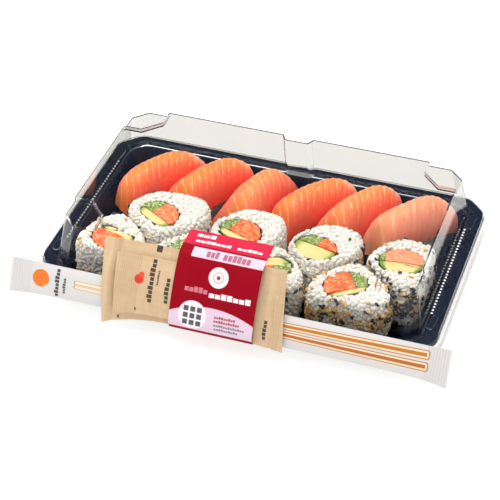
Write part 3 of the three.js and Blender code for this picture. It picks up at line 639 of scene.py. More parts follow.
def run_tree(piece, tree, values):
    """Runs a node tree on the piece with the values of its named inputs, and makes the result real."""
    modifier = piece.modifiers.new(tree.name, "NODES")
    modifier.node_group = tree
    for item in tree.interface.items_tree:
        if item.item_type == "SOCKET" and item.in_out == "INPUT" and item.name in values:
            modifier[item.identifier] = values[item.name]
    return evaluated(piece)


# ---------------------------------------------------------------- shader groups


class Shader(Tree):
    """Short calls for the nodes of a material or a shader group."""

    def blend(self, share, first, second, kind="MIX"):
        made = self.add("ShaderNodeMix", data_type="RGBA", blend_type=kind)
        self.feed(made.inputs[0], share)
        self.feed(made.inputs[6], rgba(first))
        self.feed(made.inputs[7], rgba(second))
        return made.outputs[2]

    def noise(self, place, scale, detail=2.0, stretch=None):
        if stretch:
            place = self.out("ShaderNodeVectorMath", {0: place, 1: stretch}, operation="MULTIPLY")
        return self.out("ShaderNodeTexNoise", {"Vector": place, "Scale": scale, "Detail": detail})

    def step(self, value, low, high):
        """A soft step of the value, from 0 at low to 1 at high; low may be the greater."""
        values = {"Value": value, "From Min": low, "From Max": high}
        return self.out("ShaderNodeMapRange", values, interpolation_type="SMOOTHSTEP")

    def field(self, name):
        return self.add("ShaderNodeAttribute", attribute_name=name).outputs

    def number(self, name):
        """A value that the mesh holds for each point."""
        return self.field(name)[2]

    def own_place(self, name):
        """A place that the mesh holds for each point, in its own measure."""
        return self.field(name)[1]

    def object_place(self):
        return self.add("ShaderNodeTexCoord").outputs["Object"]

    def group(self, name, **values):
        """The outputs of a shared shader group, fed with values."""
        labels = {key.replace("_", " "): value for key, value in values.items()}
        return self.add("ShaderNodeGroup", labels, node_tree=shared(name)).outputs

    def mottled(self, coarse, fine, contrast):
        """Tone and height of a cloudy unevenness at two scales."""
        return self.group("Mottle", Place=self.object_place(), Coarse=coarse, Fine=fine, Contrast=contrast)

    def bump(self, height, depth, strength=1.0):
        return self.out("ShaderNodeBump", {"Height": height, "Distance": depth, "Strength": strength})

    def solid(self, **values):
        """The Principled BSDF with its values, as the material's surface."""
        labels = {key.replace("_", " "): value for key, value in values.items()}
        self.surface(self.out("ShaderNodeBsdfPrincipled", labels))

    def surface(self, shader):
        self.add("ShaderNodeOutputMaterial", {0: shader})


def rgba(value):
    """A colour for a socket: a hex code, a colour property, or a link left as it is."""
    if isinstance(value, str):
        return linear(value)
    if isinstance(value, bpy.types.NodeSocket):
        return value
    return (*value[:3], 1.0)


def new_material(name, colours="food"):
    """A material, short calls for its nodes, and the colours that a user would change."""
    material = bpy.data.materials.new(name)
    material.use_nodes = True
    material.node_tree.nodes.clear()
    return material, Shader(material.node_tree), getattr(bpy.context.scene, f"sushi_{colours}")


def shader_group(name, outputs, **inputs):
    """An empty shader node group that puts out numbers; an input without a default takes a vector."""
    t = Shader(bpy.data.node_groups.new(name, "ShaderNodeTree"))
    for label, default in inputs.items():
        t.sockets("INPUT", "Vector" if default is None else "Float", **{label: default})
    t.sockets("OUTPUT", "Float", **dict.fromkeys(outputs))
    return t, t.add("NodeGroupInput").outputs, t.add("NodeGroupOutput").inputs


def mottle_group():
    """Cloudy tone at two sizes, from 0 to 1, and a fine height to go with it."""
    t, given, out = shader_group("Mottle", ("Tone", "Height"), Place=None, Coarse=60.0, Fine=400.0,
                                 Contrast=0.5)
    coarse, fine = t.noise(given[0], given[1], 2.0), t.noise(given[0], given[2], 3.0)
    both = t.plus(t.times(coarse, 0.6), t.times(fine, 0.4))
    spread = t.scaled(t.minus(both, 0.5), t.times(given[3], 4.0), 0.5)
    t.feed(out[0], t.calc("MINIMUM", t.calc("MAXIMUM", spread, 0.0), 1.0))
    t.feed(out[1], both)
    return t.tree


# Both printed shapes are placed by their middle and half sizes, in a piece's own millimetres.
SHAPE_SOCKETS = dict(Place=None, Middle_X=0.0, Middle_Y=0.0, Half_Width=5.0, Half_Height=1.0)
PRINT_BLUR = 0.14  # how far a print's edge fades, to each side


def bar_group():
    """A printed bar with rounded corners: 1 inside it and 0 outside."""
    t, given, out = shader_group("Printed Bar", ("Mask",), **SHAPE_SOCKETS, Rounding=0.5)
    x, y, _ = t.parts(given[0])
    reach = []
    for value, middle, half in ((x, given[1], given[3]), (y, given[2], given[4])):
        away = t.absolute(t.minus(value, middle))
        reach.append(t.minus(away, t.minus(half, given[5])))
    outside = [t.calc("MAXIMUM", r, 0.0) for r in reach]
    corner = t.calc("SQRT", t.plus(t.calc("POWER", outside[0], 2.0), t.calc("POWER", outside[1], 2.0)))
    inside = t.calc("MINIMUM", t.calc("MAXIMUM", *reach), 0.0)
    distance = t.minus(t.plus(corner, inside), given[5])
    t.feed(out[0], t.step(distance, PRINT_BLUR, -PRINT_BLUR))
    return t.tree


def word_group():
    """A printed word seen from afar: a row of solid blocks as wide as letters, some tall and some low."""
    t, given, out = shader_group("Printed Word", ("Mask",), **SHAPE_SOCKETS, Letter=2.0)
    x, y, _ = t.parts(given[0])
    bar = t.group("Printed Bar", **dict(zip(SHAPE_SOCKETS, given)), Rounding=0.2)[0]
    run = t.calc("DIVIDE", t.plus(t.minus(x, given[1]), given[3]), given[5])
    part = t.absolute(t.minus(t.calc("FRACT", run), 0.5))
    level = t.calc("DIVIDE", t.minus(y, given[2]), given[4])
    chance = t.out("ShaderNodeTexWhiteNoise", {"W": t.calc("FLOOR", run)}, noise_dimensions="1D")
    top = t.scaled(t.calc("GREATER_THAN", chance, 0.6), -0.5, -0.5)
    letter = t.times(t.step(part, 0.46, 0.38), t.calc("GREATER_THAN", level, top))
    t.feed(out[0], t.times(bar, letter))
    return t.tree


def fibre_group():
    """Paper: pale and dark fibres, and a fine height."""
    t, given, out = shader_group("Paper Fibres", ("Tone", "Height"), Place=None, Amount=0.5)
    along = t.noise(given[0], 500.0, 4.0, (1.0, 0.25, 0.25))
    across = t.noise(given[0], 450.0, 4.0, (0.3, 1.0, 1.0))
    cloud = t.noise(given[0], 40.0)
    both = t.plus(t.times(along, 0.5), t.times(across, 0.5))
    tone = t.plus(t.times(both, 0.7), t.times(cloud, 0.3))
    t.feed(out[0], t.scaled(t.minus(tone, 0.5), given[1], 0.5))
    t.feed(out[1], both)
    return t.tree


def crimp_group():
    """Fine pressed ridges across a seal, between two distances along the piece: their height."""
    t, given, out = shader_group("Crimped Seal", ("Height",), Along=0.0, Spacing=1.2, Start=10.0, End=20.0)
    turn = t.calc("DIVIDE", t.times(given[0], FULL_TURN), given[1])
    ridge = t.scaled(t.calc("SINE", turn), 0.5, 0.5)
    begun = t.step(given[0], given[2], t.plus(given[2], 0.5))
    ended = t.step(given[0], given[3], t.minus(given[3], 0.5))
    t.feed(out[0], t.times(ridge, t.times(begun, ended)))
    return t.tree


GROUP_MAKERS = {"Mottle": mottle_group, "Printed Bar": bar_group, "Printed Word": word_group,
                "Paper Fibres": fibre_group, "Crimped Seal": crimp_group}


def shared(name):
    """A shader group that several materials use, built the first time that one asks for it."""
    return bpy.data.node_groups.get(name) or GROUP_MAKERS[name]()


# ---------------------------------------------------------------- food materials


def rice_material():
    """Moist cooked rice: each grain its own tone, and the core between the grains darker and warmer as
    painted shade.
    """
    material, t, colours = new_material("cooked rice")
    tone, height = t.mottled(300, 1500, 0.5)
    tint = t.number("tint")
    # Painted shade: the core seen between the grains takes this darker, warmer colour, and grains of low tint
    # lean towards it too
    deep = t.blend(0.05, colours.rice, "c4ba9e", "MULTIPLY")
    pale = t.blend(t.times(tone, 0.6), colours.rice, "fffaf0")
    t.solid(Base_Color=t.blend(t.step(tint, 0.0, 0.7), deep, pale), Roughness=0.6, Specular_IOR_Level=0.3,
            Subsurface_Weight=0.6, Subsurface_Radius=(0.9, 0.8, 0.65), Subsurface_Scale=0.002,
            Normal=t.bump(height, 0.0002))
    return material


def fish_material(paleness):
    """A slice of salmon with slanting lines of fat: orange along its ridge, lighter there as painted top
    light, coral down its sides and a darker red low on them as painted shade.
    """
    material, t, colours = new_material(f"salmon slice {round(paleness * 100)}")
    along, across, _ = t.parts(t.own_place("slice"))
    flat = t.vector(along, across)
    tone, height = t.mottled(90, 900, 0.6)
    side = t.absolute(across)
    # Painted light: the ridge is lighter orange where light falls on top, and the lower sides turn darker red
    # as painted shade
    ridge = t.step(t.scaled(tone, 5.0, side), 12.0, 2.0)
    flesh = t.blend(ridge, colours.fish_side, colours.fish_lit_ridge)
    flesh = t.blend(t.times(t.step(side, 7.0, 17.0), 0.85), flesh, colours.fish_shaded_foot)

    speckle = t.step(t.noise(t.object_place(), 1400, 1.0), 0.58, 0.72)
    flesh = t.blend(t.times(speckle, 0.22), flesh, "ffc49c")

    # The lines of fat slant and wander, and fade down the sides.
    wander = t.noise(flat, 0.13, 2.0, (1.0, 0.5, 1.0))
    place = t.scaled(wander, 6.0, t.scaled(across, -FAT_LEAN, along))
    apart = FAT_APART if paleness < 0.5 else PALE_FAT_APART
    wave = t.calc("SINE", t.times(place, 2 * math.pi / apart))
    line = t.step(wave, 0.76 - 0.5 * paleness, 1.0)
    fade = t.times(t.step(side, 14.0, 2.0), 0.8)
    patchy = t.times(fade, t.step(t.noise(flat, 0.2, 2.0), 0.35, 0.65))
    flesh = t.blend(t.times(line, patchy), flesh, colours.fish_fat)

    # The left side is paler as painted light from the left, and the rear end near the ridge is paler as a
    # painted highlight from behind; the whole of a pale slice is paler in its own colour.
    left_side_light = t.times(t.step(across, 1.0, 9.0), 0.12)
    end = t.times(t.times(t.step(along, 14.0, 27.0), t.step(side, 10.0, 2.0)), 0.55)
    flesh = t.blend(t.calc("MAXIMUM", left_side_light, end), flesh, "ffd8b8")
    flesh = t.blend(0.6 * paleness, flesh, "ffc2a2")
    relief = t.minus(t.times(height, 0.6), t.times(line, 0.3))
    t.solid(Base_Color=flesh, Roughness=0.38, Specular_IOR_Level=0.35, Subsurface_Weight=0.1,
            Subsurface_Radius=(1.0, 0.35, 0.2), Subsurface_Scale=0.0015, Coat_Weight=0.1, Coat_Roughness=0.2,
            Normal=t.bump(relief, 0.0004))
    return material


def salmon_material():
    """Diced salmon in a roll: deep orange, with pale streaks, paler where the piece says so."""
    material, t, colours = new_material("diced salmon")
    place = t.own_place("cut")
    tone, height = t.mottled(220, 900, 0.9)
    streak = t.noise(place, 0.35, 3.0, (0.5, 1.6, 0.5))
    line = t.step(t.calc("SINE", t.times(streak, 26.0)), 0.45, 1.0)
    flesh = t.blend(tone, colours.salmon, "ff7c2a")
    flesh = t.blend(t.times(line, 0.5), flesh, "ffd096")
    flesh = t.blend(t.times(t.number("pale"), 0.6), flesh, "ffc09a")
    t.solid(Base_Color=flesh, Roughness=0.3, Subsurface_Weight=0.1, Subsurface_Radius=(1.0, 0.4, 0.2),
            Subsurface_Scale=0.0015, Coat_Weight=0.2, Coat_Roughness=0.15, Normal=t.bump(height, 0.0006))
    return material


def avocado_material():
    """Avocado: pale yellow flesh, turning green towards one end and its rim."""
    material, t, colours = new_material("avocado flesh")
    x, _, edge = t.parts(t.own_place("cut"))
    tone, height = t.mottled(120, 1200, 0.5)
    green_end = t.step(t.scaled(tone, 2.0, t.absolute(x)), 7.5, 11.5)
    rim = t.times(t.step(edge, 0.86, 1.0), 0.5)
    green = t.calc("MINIMUM", t.plus(green_end, rim), 1.0)
    flesh = t.blend(t.times(tone, 0.4), colours.avocado, "ffefc4")
    flesh = t.blend(green, flesh, t.blend(t.step(edge, 0.7, 1.0), "c3c66a", colours.avocado_skin))
    t.solid(Base_Color=flesh, Roughness=0.45, Subsurface_Weight=0.1, Subsurface_Radius=(0.8, 0.7, 0.2),
            Subsurface_Scale=0.002, Coat_Weight=0.12, Coat_Roughness=0.3, Normal=t.bump(height, 0.0003))
    return material


def greens_material():
    """Chopped greens: each bit its own green, some nearly white."""
    material, t, colours = new_material("chopped greens")
    tint = t.number("tint")
    tone, height = t.mottled(400, 1500, 0.6)
    bit = t.blend(t.step(tint, 0.3, 0.9), t.blend(0.5, colours.greens, "55802c"), "dbe3ae")
    t.solid(Base_Color=t.blend(t.times(tone, 0.5), bit, colours.greens), Roughness=0.45,
            Coat_Weight=0.15, Normal=t.bump(height, 0.0004))
    return material


def seaweed_material():
    """Pressed seaweed: nearly black green, with a papery grain."""
    material, t, colours = new_material("pressed seaweed")
    tone, height = t.mottled(250, 1400, 0.9)
    sheet = t.blend(tone, colours.seaweed, t.blend(0.5, colours.seaweed, "46543a"))
    t.solid(Base_Color=sheet, Roughness=0.5, Normal=t.bump(height, 0.0004))
    return material


def sesame_material(name, dark, light):
    """Sesame seeds: each its own tone between two colours, finely ridged."""
    material, t, _ = new_material(name)
    tint = t.number("tint")
    _, height = t.mottled(900, 3000, 0.5)
    t.solid(Base_Color=t.blend(tint, dark, light), Roughness=0.38, Normal=t.bump(height, 0.0002))
    return material


# ---------------------------------------------------------------- pack materials


def tray_material():
    """Glossy black moulded plastic, faintly uneven, dusty in the rubs."""
    material, t, colours = new_material("black tray plastic", "pack")
    tone, height = t.mottled(25, 700, 0.7)
    body = t.blend(t.times(tone, 0.35), colours.tray, "262e3c")
    rough = t.scaled(tone, 0.12, 0.22)
    t.solid(Base_Color=body, Roughness=rough, Specular_IOR_Level=0.5, Specular_Tint=linear("9fb6da"),
            Normal=t.bump(height, 0.00025, 0.4))
    return material


def lid_material():
    """Thin clear film: transparent to shadows, with a faint waviness."""
    material, t, _ = new_material("clear lid film")
    _, height = t.mottled(22, 60, 0.5)
    film = t.out("ShaderNodeBsdfPrincipled",
                 {"Base Color": linear("ecebe9"), "Roughness": 0.02, "IOR": 1.2, "Transmission Weight": 1.0,
                  "Normal": t.bump(height, 0.0004, 0.08)})
    clear = t.out("ShaderNodeBsdfTransparent", {0: linear("fafafa")})
    path = t.add("ShaderNodeLightPath").outputs["Is Shadow Ray"]
    t.surface(t.out("ShaderNodeMixShader", {0: path, 1: film, 2: clear}))
    return material


def crease_and_highlight_material():
    """Clear film whitened where it is folded sharply, half see-through and scattering light: partly the
    film's own whitening at a fold, partly a painted highlight, and its glow is painted light.
    """
    material, t, _ = new_material("whitened fold")
    tone, height = t.mottled(150, 900, 0.8)
    # Painted highlight: the emission makes the fold lines glow white as highlights would
    t.solid(Base_Color=t.blend(tone, "e6eaee", "ffffff"), Roughness=0.3, Emission_Color=rgba("f6f9ff"),
            Emission_Strength=0.5, Alpha=t.scaled(tone, 0.45, 0.5), Normal=t.bump(height, 0.0002))
    return material


class Print:
    """Lays printed shapes over a ground colour, in a piece's own millimetres across and down."""

    def __init__(self, t, ground):
        self.t = t
        self.place = t.own_place("print")
        self.across, self.down, self.side = t.parts(self.place)
        self.colour = ground

    def mask(self, group, middle, half, place=None, **rest):
        values = dict(zip(SHAPE_SOCKETS, (place or self.place, *middle, *half)), **rest)
        return self.t.group(group, **values)[0]

    def lay(self, mask, colour, strength=1.0):
        share = self.t.times(mask, self.t.times(self.side, strength))
        self.colour = self.t.blend(share, self.colour, colour)

    def bar(self, middle, half, colour, rounding=0.4, strength=1.0):
        self.lay(self.mask("Printed Bar", middle, half, Rounding=rounding), colour, strength)

    def disc(self, middle, radius, colour):
        self.bar(middle, (radius, radius), colour, radius)

    def word(self, middle, half, letter, colour, strength=1.0, upright=False):
        """A row of letter-like blocks; upright ones run down the piece."""
        place = self.place
        if upright:
            place = self.t.vector(self.down, self.across)
            middle, half = middle[::-1], half[::-1]
        self.lay(self.mask("Printed Word", middle, half, place, Letter=letter), colour, strength)


def sheet_of_paper(t, spec, amount, dark, light, spacing, shade):
    """The print on a wrapper's fibrous paper, darker on the ridges of its seals, and the height of both."""
    tone, height = t.group("Paper Fibres", Place=t.object_place(), Amount=amount)
    printed = Print(t, t.blend(tone, dark, light))
    colour, strength = shade
    for start, end in spec["seals"]:
        ridges = t.group("Crimped Seal", Along=printed.across, Spacing=spacing, Start=start, End=end)[0]
        printed.lay(t.times(ridges, strength), colour)
        height = t.plus(height, ridges)
    return printed, height


def kraft_material(name, spec):
    """Light brown sachet paper, faintly shiny, with pressed seals, plain discs and upright word-like rows."""
    material, t, colours = new_material(name, "pack")
    dark, light = t.blend(0.5, colours.kraft, "b08a5c"), t.blend(0.45, colours.kraft, "f4dfbd")
    printed, height = sheet_of_paper(t, spec, 1.4, dark, light, 1.15, ("b08a66", 0.22))
    for middle, radius, tint in spec["discs"]:
        printed.disc(middle, radius, tint)
    for middle, half, letter, tint in spec["words"]:
        printed.word(middle, half, letter, tint, 0.95, upright=True)
    t.solid(Base_Color=printed.colour, Roughness=0.42, Normal=t.bump(height, 0.00022, 0.8))
    return material


def sleeve_material():
    """Off-white paper sleeve with a plain disc, word-like rows and a line drawing of two sticks."""
    material, t, colours = new_material("printed paper sleeve", "pack")
    dark = t.blend(0.5, colours.paper, "cfcdce")
    printed, height = sheet_of_paper(t, SLEEVE, 0.8, dark, colours.paper, 1.5, ("bdbbbc", 0.25))
    printed.disc((-106.2, 35.0), 5.0, "f9761c")
    printed.bar((-103.0, 38.2), (1.6, 0.35), "ffb27a", 0.3)
    printed.word((-96.4, 35.6), (1.3, 7.8), 2.0, "2c2b2d", 0.95, upright=True)
    printed.word((-92.0, 36.6), (0.9, 4.4), 1.5, "2c2b2d", 0.9, upright=True)
    # The two sticks spread from left to right, so their drawing is laid out in shares of that spread.
    spread = t.scaled(t.plus(printed.across, 86.0), 0.0105, 1.2)
    level = t.calc("DIVIDE", t.minus(printed.down, 34.6), spread)
    drawn = t.vector(printed.across, t.times(level, 3.0))
    for stick, core in ((-3.0, "c8791a"), (3.0, "c0661a")):
        whole, within, wood = (
            printed.mask("Printed Bar", (middle, stick), half, drawn, Rounding=rounding)
            for middle, half, rounding in ((13.9, (100.3, 2.4), 1.5), (13.9, (99.7, 1.85), 1.2),
                                           (15.2, (97.5, 0.95), 0.6)))
        printed.lay(whole, "c07a1e")
        printed.lay(within, "f6e2c6")
        printed.lay(t.times(wood, t.step(printed.across, -72.0, -60.0)), core)
    t.solid(Base_Color=printed.colour, Roughness=0.6, Normal=t.bump(height, 0.0002, 0.8))
    return material


# Rows of print on the band: middle, half sizes, width of a letter, colour and strength.
BAND_WORDS = (
    ((-17.5, -9.6), (5.4, 1.5), 3.6, "fff4f4", 1.0),
    ((-12.0, -4.6), (10.2, 1.15), 2.9, "fff4f4", 1.0),
    ((8.6, -4.6), (7.2, 1.15), 2.9, "fff4f4", 1.0),
    ((-9.4, 2.4), (3.6, 1.2), 2.4, "a5445e", 0.8),
    ((4.2, 2.4), (7.8, 1.2), 2.6, "a5445e", 0.8),
    ((-14.6, 21.0), (6.6, 1.5), 2.64, "e08a96", 0.75),
    ((4.6, 22.2), (11.9, 1.55), 3.4, "fdf3f3", 1.0),
    ((3.4, 33.7), (6.0, 0.75), 1.35, "b0384a", 0.9),
    ((4.6, 35.9), (7.2, 0.75), 1.35, "b0384a", 0.9),
    ((6.2, 38.2), (8.6, 0.65), 1.35, "7c6f7a", 0.9),
    ((4.8, 40.3), (6.8, 0.65), 1.35, "7c6f7a", 0.9),
)
BADGE = (-3.4, 12.7)
BADGE_RINGS = ((5.5, "f3eeee"), (3.0, "d8aab0"), (2.4, "f3eeee"), (1.1, "b0384a"))
BLOCKS = (-18.6, 31.8)  # middle of the first of nine dark blocks, in three rows
BLOCKS_APART = 3.8


def band_material():
    """Satin printed card: crimson, with pale fields, word-like rows, discs and a square of dark blocks."""
    material, t, colours = new_material("printed label card", "pack")
    printed = Print(t, rgba(colours.band))
    # Painted light: the flap lying on the lid's top is a lighter pink-red, as light falls on it from above
    printed.lay(t.step(printed.down, -0.3, -1.6), colours.band_lit_flap)
    printed.bar((2.0, 2.4), (23.0, 2.0), colours.band_pale, 0.2)
    for radius, tint in BADGE_RINGS:
        printed.disc(BADGE, radius, tint)
    from_middle = t.calc("DIVIDE", t.absolute(t.plus(printed.across, 4.0)), 23.0)
    edge = t.scaled(t.calc("POWER", from_middle, 2.0), 5.2, 29.3)
    field = t.step(printed.down, t.minus(edge, 0.15), t.plus(edge, 0.15))
    printed.lay(field, colours.band_pale)
    printed.disc((-14.8, 35.2), 8.0, "f1ecf0")
    for column in range(3):
        for row in range(3):
            middle = (BLOCKS[0] + BLOCKS_APART * column, BLOCKS[1] + BLOCKS_APART * row)
            printed.bar(middle, (1.4, 1.4), "37343a", 0.3, 0.9)
    for middle, half, letter, tint, strength in BAND_WORDS:
        printed.word(middle, half, letter, tint, strength)
    # Painted shade: darker where the band turns away under the tray
    printed.lay(t.step(printed.down, 43.6, 44.2), "8e0a1e")
    tone, height = t.mottled(60, 1400, 0.5)
    worn = t.blend(t.times(tone, 0.005), printed.colour, "ffffff", "SCREEN")
    t.solid(Base_Color=worn, Roughness=0.6, Specular_IOR_Level=0.06, Normal=t.bump(height, 0.0001, 0.6))
    return material


def floor_material():
    """Plain pale floor, very slightly uneven in tone, lit up beyond both ends of the pack."""
    material, t, colours = new_material("pale floor", "stage")
    tone, height = t.mottled(3, 60, 0.3)
    floor = t.blend(t.times(tone, 0.08), colours.floor, "ffffff")
    beyond = t.step(t.absolute(t.parts(t.object_place())[0]), 0.115, 0.14)
    glow = t.scaled(beyond, 0.25, 0.8)
    t.solid(Base_Color=floor, Roughness=0.8, Emission_Color=rgba("fefefc"), Emission_Strength=glow,
            Normal=t.bump(height, 0.0002, 0.2))
    return material


# ---------------------------------------------------------------- tray


def pack_outline(reach, wider):
    """The pack's outline, a rectangle with cut corners, at a given reach, wider past its short sides."""
    cut = CORNER_CUT + (2 - math.sqrt(2)) * (reach - CORNER_REACH)
    half_x, half_y = reach + wider, reach - SIDE_DIFFERENCE
    corners = []
    for sign_x, sign_y in ((1, 1), (-1, 1), (-1, -1), (1, -1)):
        on_side = (sign_x * half_x, sign_y * (half_y - cut))
        on_front = (sign_x * (half_x - cut), sign_y * half_y)
        corners += [on_side, on_front] if sign_x * sign_y > 0 else [on_front, on_side]
    return rounded(corners, cut * 0.3, 4)


def foot(side):
    """One broad foot under the tray, an upright block with rounded corners and edges."""
    half_y = FOOT_OUTER - SIDE_DIFFERENCE
    base = TRAY_FLOOR - TRAY_WALL
    rings = []
    for inset, z in ((0, base + 0.4), (0, base - 0.7), (0.2, base - 1.1), (0.6, base - FOOT_HEIGHT)):
        near, far = side * (FOOT_INNER + inset), side * (FOOT_OUTER - inset)
        half = half_y - inset
        corners = [(near, -half), (far, -half), (far, half), (near, half)]
        rings.append(at_height(rounded(corners, 5, 6), z))
    return through_rings(rings, False)


def make_tray():
    """The tray: one wall folded from the base up over the rim, with soft folds, on two broad feet."""
    floor, base, inner, outer = TRAY_FLOOR, TRAY_FLOOR - TRAY_WALL, TRAY_FLOOR_REACH, TRAY_FLOOR_REACH + 0.8
    rim, ends, wall = TRAY_RIM_REACH, TRAY_ENDS_WIDER, TRAY_WALL
    turn, slope = TRAY_BASE_TURN, (0.42 * TRAY_BASE_TURN, 0.91 * TRAY_BASE_TURN)
    ledge, step, drop = TRAY_LEDGE, TRAY_STEP, TRAY_LEDGE_DROP
    section = [
        (TRAY_FLAT, base, 0), (outer - turn, base, 0), (outer, base, 0),
        (outer + slope[0], base + slope[1], 0), (ledge + 0.7, -drop - wall, 0), (step, -drop - wall, 0),
        (step + 0.7, -wall, 0), (rim - wall, -wall, ends), (rim - 0.5, -TRAY_LIP, ends),
        (rim + 0.3, -TRAY_LIP, ends), (rim, -0.6, ends), (rim - 0.7, 0, ends),
        (step, 0, 0), (step - 0.8, -drop, 0), (ledge, -drop, 0),
        (inner + slope[0], floor + slope[1], 0), (inner, floor, 0), (inner - turn, floor, 0),
        (TRAY_FLAT, floor, 0),
    ]
    rings = [at_height(pack_outline(reach, wider), z) for reach, z, wider in cut_corners(section, 2)]
    points, faces = joined([through_rings(rings, False), foot(-1), foot(1)])
    return build("tray_shell", points, faces, tray_material(), sharp=50)


# ---------------------------------------------------------------- lid


def make_lid():
    """The clear lid, with a soft fold along every edge of its dome."""
    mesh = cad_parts["lid"].data.copy()
    mesh.name = "clear_lid"
    work = bmesh.new()
    work.from_mesh(mesh)
    bmesh.ops.remove_doubles(work, verts=work.verts, dist=1e-6)
    bmesh.ops.dissolve_limit(work, angle_limit=math.radians(0.5), verts=work.verts, edges=work.edges)
    low, sharp = RIM_MIDDLE[2] + FOLDS_ABOVE * MM, math.radians(FOLD_ANGLE)
    folds = [edge for edge in work.edges
             if min(v.co.z for v in edge.verts) > low and edge.calc_face_angle(0) > sharp]
    # Painted highlight: the bevelled fold strips take material 1, the whitened fold, whose white and glow
    # stand partly for highlights
    bmesh.ops.bevel(work, geom=folds, offset=FOLD_WIDTH * MM, segments=3, profile=0.5, affect="EDGES",
                    clamp_overlap=True, material=1)
    work.to_mesh(mesh)
    work.free()
    mesh.shade_smooth()
    mesh.set_sharp_from_angle(angle=math.radians(40))
    mesh.materials.clear()
    mesh.materials.append(lid_material())
    mesh.materials.append(crease_and_highlight_material())
    lid = add_object("clear_lid", mesh)
    flatten = lid.modifiers.new("Flat Walls", "WEIGHTED_NORMAL")
    flatten.mode = "FACE_AREA"
    flatten.weight = 100
    flatten.keep_sharp = True
    return evaluated(lid)


def make_pressed_rows(material):
    """A row of tiny pressed pips along each short side of the lid's flange."""
    tree = row_tree("Pressed Row")
    rows = []
    for name, side in (("left", -1), ("right", 1)):
        seat = build(f"pressed_row_{name}", np.zeros((3, 3)), [(0, 1, 2)])
        start, end = (Vector(metres((side * ROW_REACH, y, FLANGE_TOP))) for y in (-ROW_HALF, ROW_HALF))
        values = {"Start": start, "End": end, "Apart": PIPS_APART * MM, "Pip Size": Vector(PIP_SIZE) * MM,
                  "Material": material}
        rows.append(run_tree(seat, tree, values))
    return rows


# ---------------------------------------------------------------- nigiri


def arch_point(u, v, half_length, half_width, rise, ends):
    """The arched form that fish and rice share, with u along it, front to back, and v across."""
    nose, tail, lead, spread = ends
    across = v * FISH_BEND
    leading = np.where((u < 0) & (v > 0), u**4, 0)
    width = half_width * np.sqrt(1 - FISH_TAPER * u**4) * (1 - FISH_FLARE * u + spread * leading * u**2)
    turn = np.where(u < 0, FISH_FRONT_FALL - nose, 0) * np.abs(u) ** FISH_FRONT_TURN
    drop = 1 - np.where(u < 0, nose, tail) * np.abs(u) ** 3 - turn
    height = FISH_EDGE + rise * np.maximum(np.cos(across), 0) ** FISH_FULLNESS * drop
    along = half_length * u * (1 - FISH_ROUND * v * v) - lead * v * leading
    return np.stack([along, width * np.sin(across), height], -1)


def stand_nigiri(points, start, end):
    """Turns and moves points along a nigiri's own middle line to its place in the tray."""
    start, end = np.array(start), np.array(end)
    along = (end - start) / np.linalg.norm(end - start)
    turn = np.array([[along[0], -along[1]], [along[1], along[0]]])
    placed = points.copy()
    placed[..., :2] = points[..., :2] @ turn.T + (start + end) / 2
    return placed


def make_fish(number, start, end, half, crest, paleness, ends):
    """A slice of fish bent over its rice, scalloped where the lines of fat meet its edge."""
    size = math.dist(start, end) / 2
    outer = (size, half, crest - FISH_EDGE, ends)
    inner = (size - FISH_END_THICK, half - FISH_SIDE_THICK, crest - FISH_EDGE - FISH_THICK, ends)

    def uneven(u, v, amount):
        middle = arch_point(u, v, *outer)
        coarse = FISH_DEPTHS[0] * ripple(middle * (1, 1, 0.5), FISH_DENTS[0], number)
        fine = FISH_DEPTHS[1] * ripple(middle, FISH_DENTS[1], number + 20)
        along = u * size - FAT_LEAN * v * half * FISH_ARC
        groove = FISH_DEPTHS[2] * np.cos(2 * math.pi * along / FAT_APART)
        away = np.stack([0 * u, np.sin(v * FISH_BEND), np.cos(v * FISH_BEND)], -1)
        depth = amount * (coarse + fine + groove * (1 - np.abs(v)) - FISH_DRAWN_IN)
        return away * depth[..., None]

    def front(u, v):
        return arch_point(u, v, *outer) + uneven(u, v, 1)

    def back(u, v):
        return arch_point(u, v, *inner) + uneven(u, v, 0.2)

    points, faces = between_surfaces(*FISH_STEPS, front, back)
    u, v = grid(*FISH_STEPS)
    own = np.stack([u * size, v * half * FISH_ARC, 0 * u], -1).reshape(-1, 3)
    piece = build(f"fish_slice_{number}", stand_nigiri(points, start, end), faces, fish_material(paleness),
                  {"slice": np.concatenate([own, own])}, sharp=60)
    return hand_over(piece, "fish", f"nigiri_{number}_fish")


def make_rice_pad(number, start, end, half, crest, ends, scatter, material):
    """The pressed rice under a slice: a core with grains laid all over it."""
    rice = bpy.context.scene.sushi_rice
    inset = rice.inset / MM
    size = math.dist(start, end) / 2 - FISH_END_THICK - RICE_SHORT - inset
    width = half - FISH_SIDE_THICK - 2 * GAP - inset
    rise = crest - FISH_EDGE - FISH_THICK - 2 * GAP - inset

    def top(u, v):
        return arch_point(u, v, size, width, rise, ends)

    def under(u, v):
        points = top(u, v)
        points[..., 2] = PAD_FOOT
        return points

    points, faces = between_surfaces(24, 24, top, under)
    cover = np.ones(len(points))
    cover[len(points) // 2:] = 0  # the second half is the underside
    piece = build(f"rice_pad_{number}", stand_nigiri(points, start, end), faces, None, {"cover": cover})
    values = rice_values(material, rice.seed + number)
    values["Spacing"] *= PAD_GRAINS_WIDER
    run_tree(piece, scatter, values)
    return hand_over(piece, "rice", f"nigiri_{number}_rice")


def rice_values(material, seed):
    """What a scatter tree is fed to lay cooked grains, nearly round across."""
    rice = bpy.context.scene.sushi_rice
    grains = {"Length": rice.grain_length, "Width": rice.grain_width, "Spacing": rice.spacing,
              "Height": rice.grain_width * GRAIN_HIGH, "Seed": seed, "Material": material}
    return GRAINS_LIE | grains


# ---------------------------------------------------------------- rolls


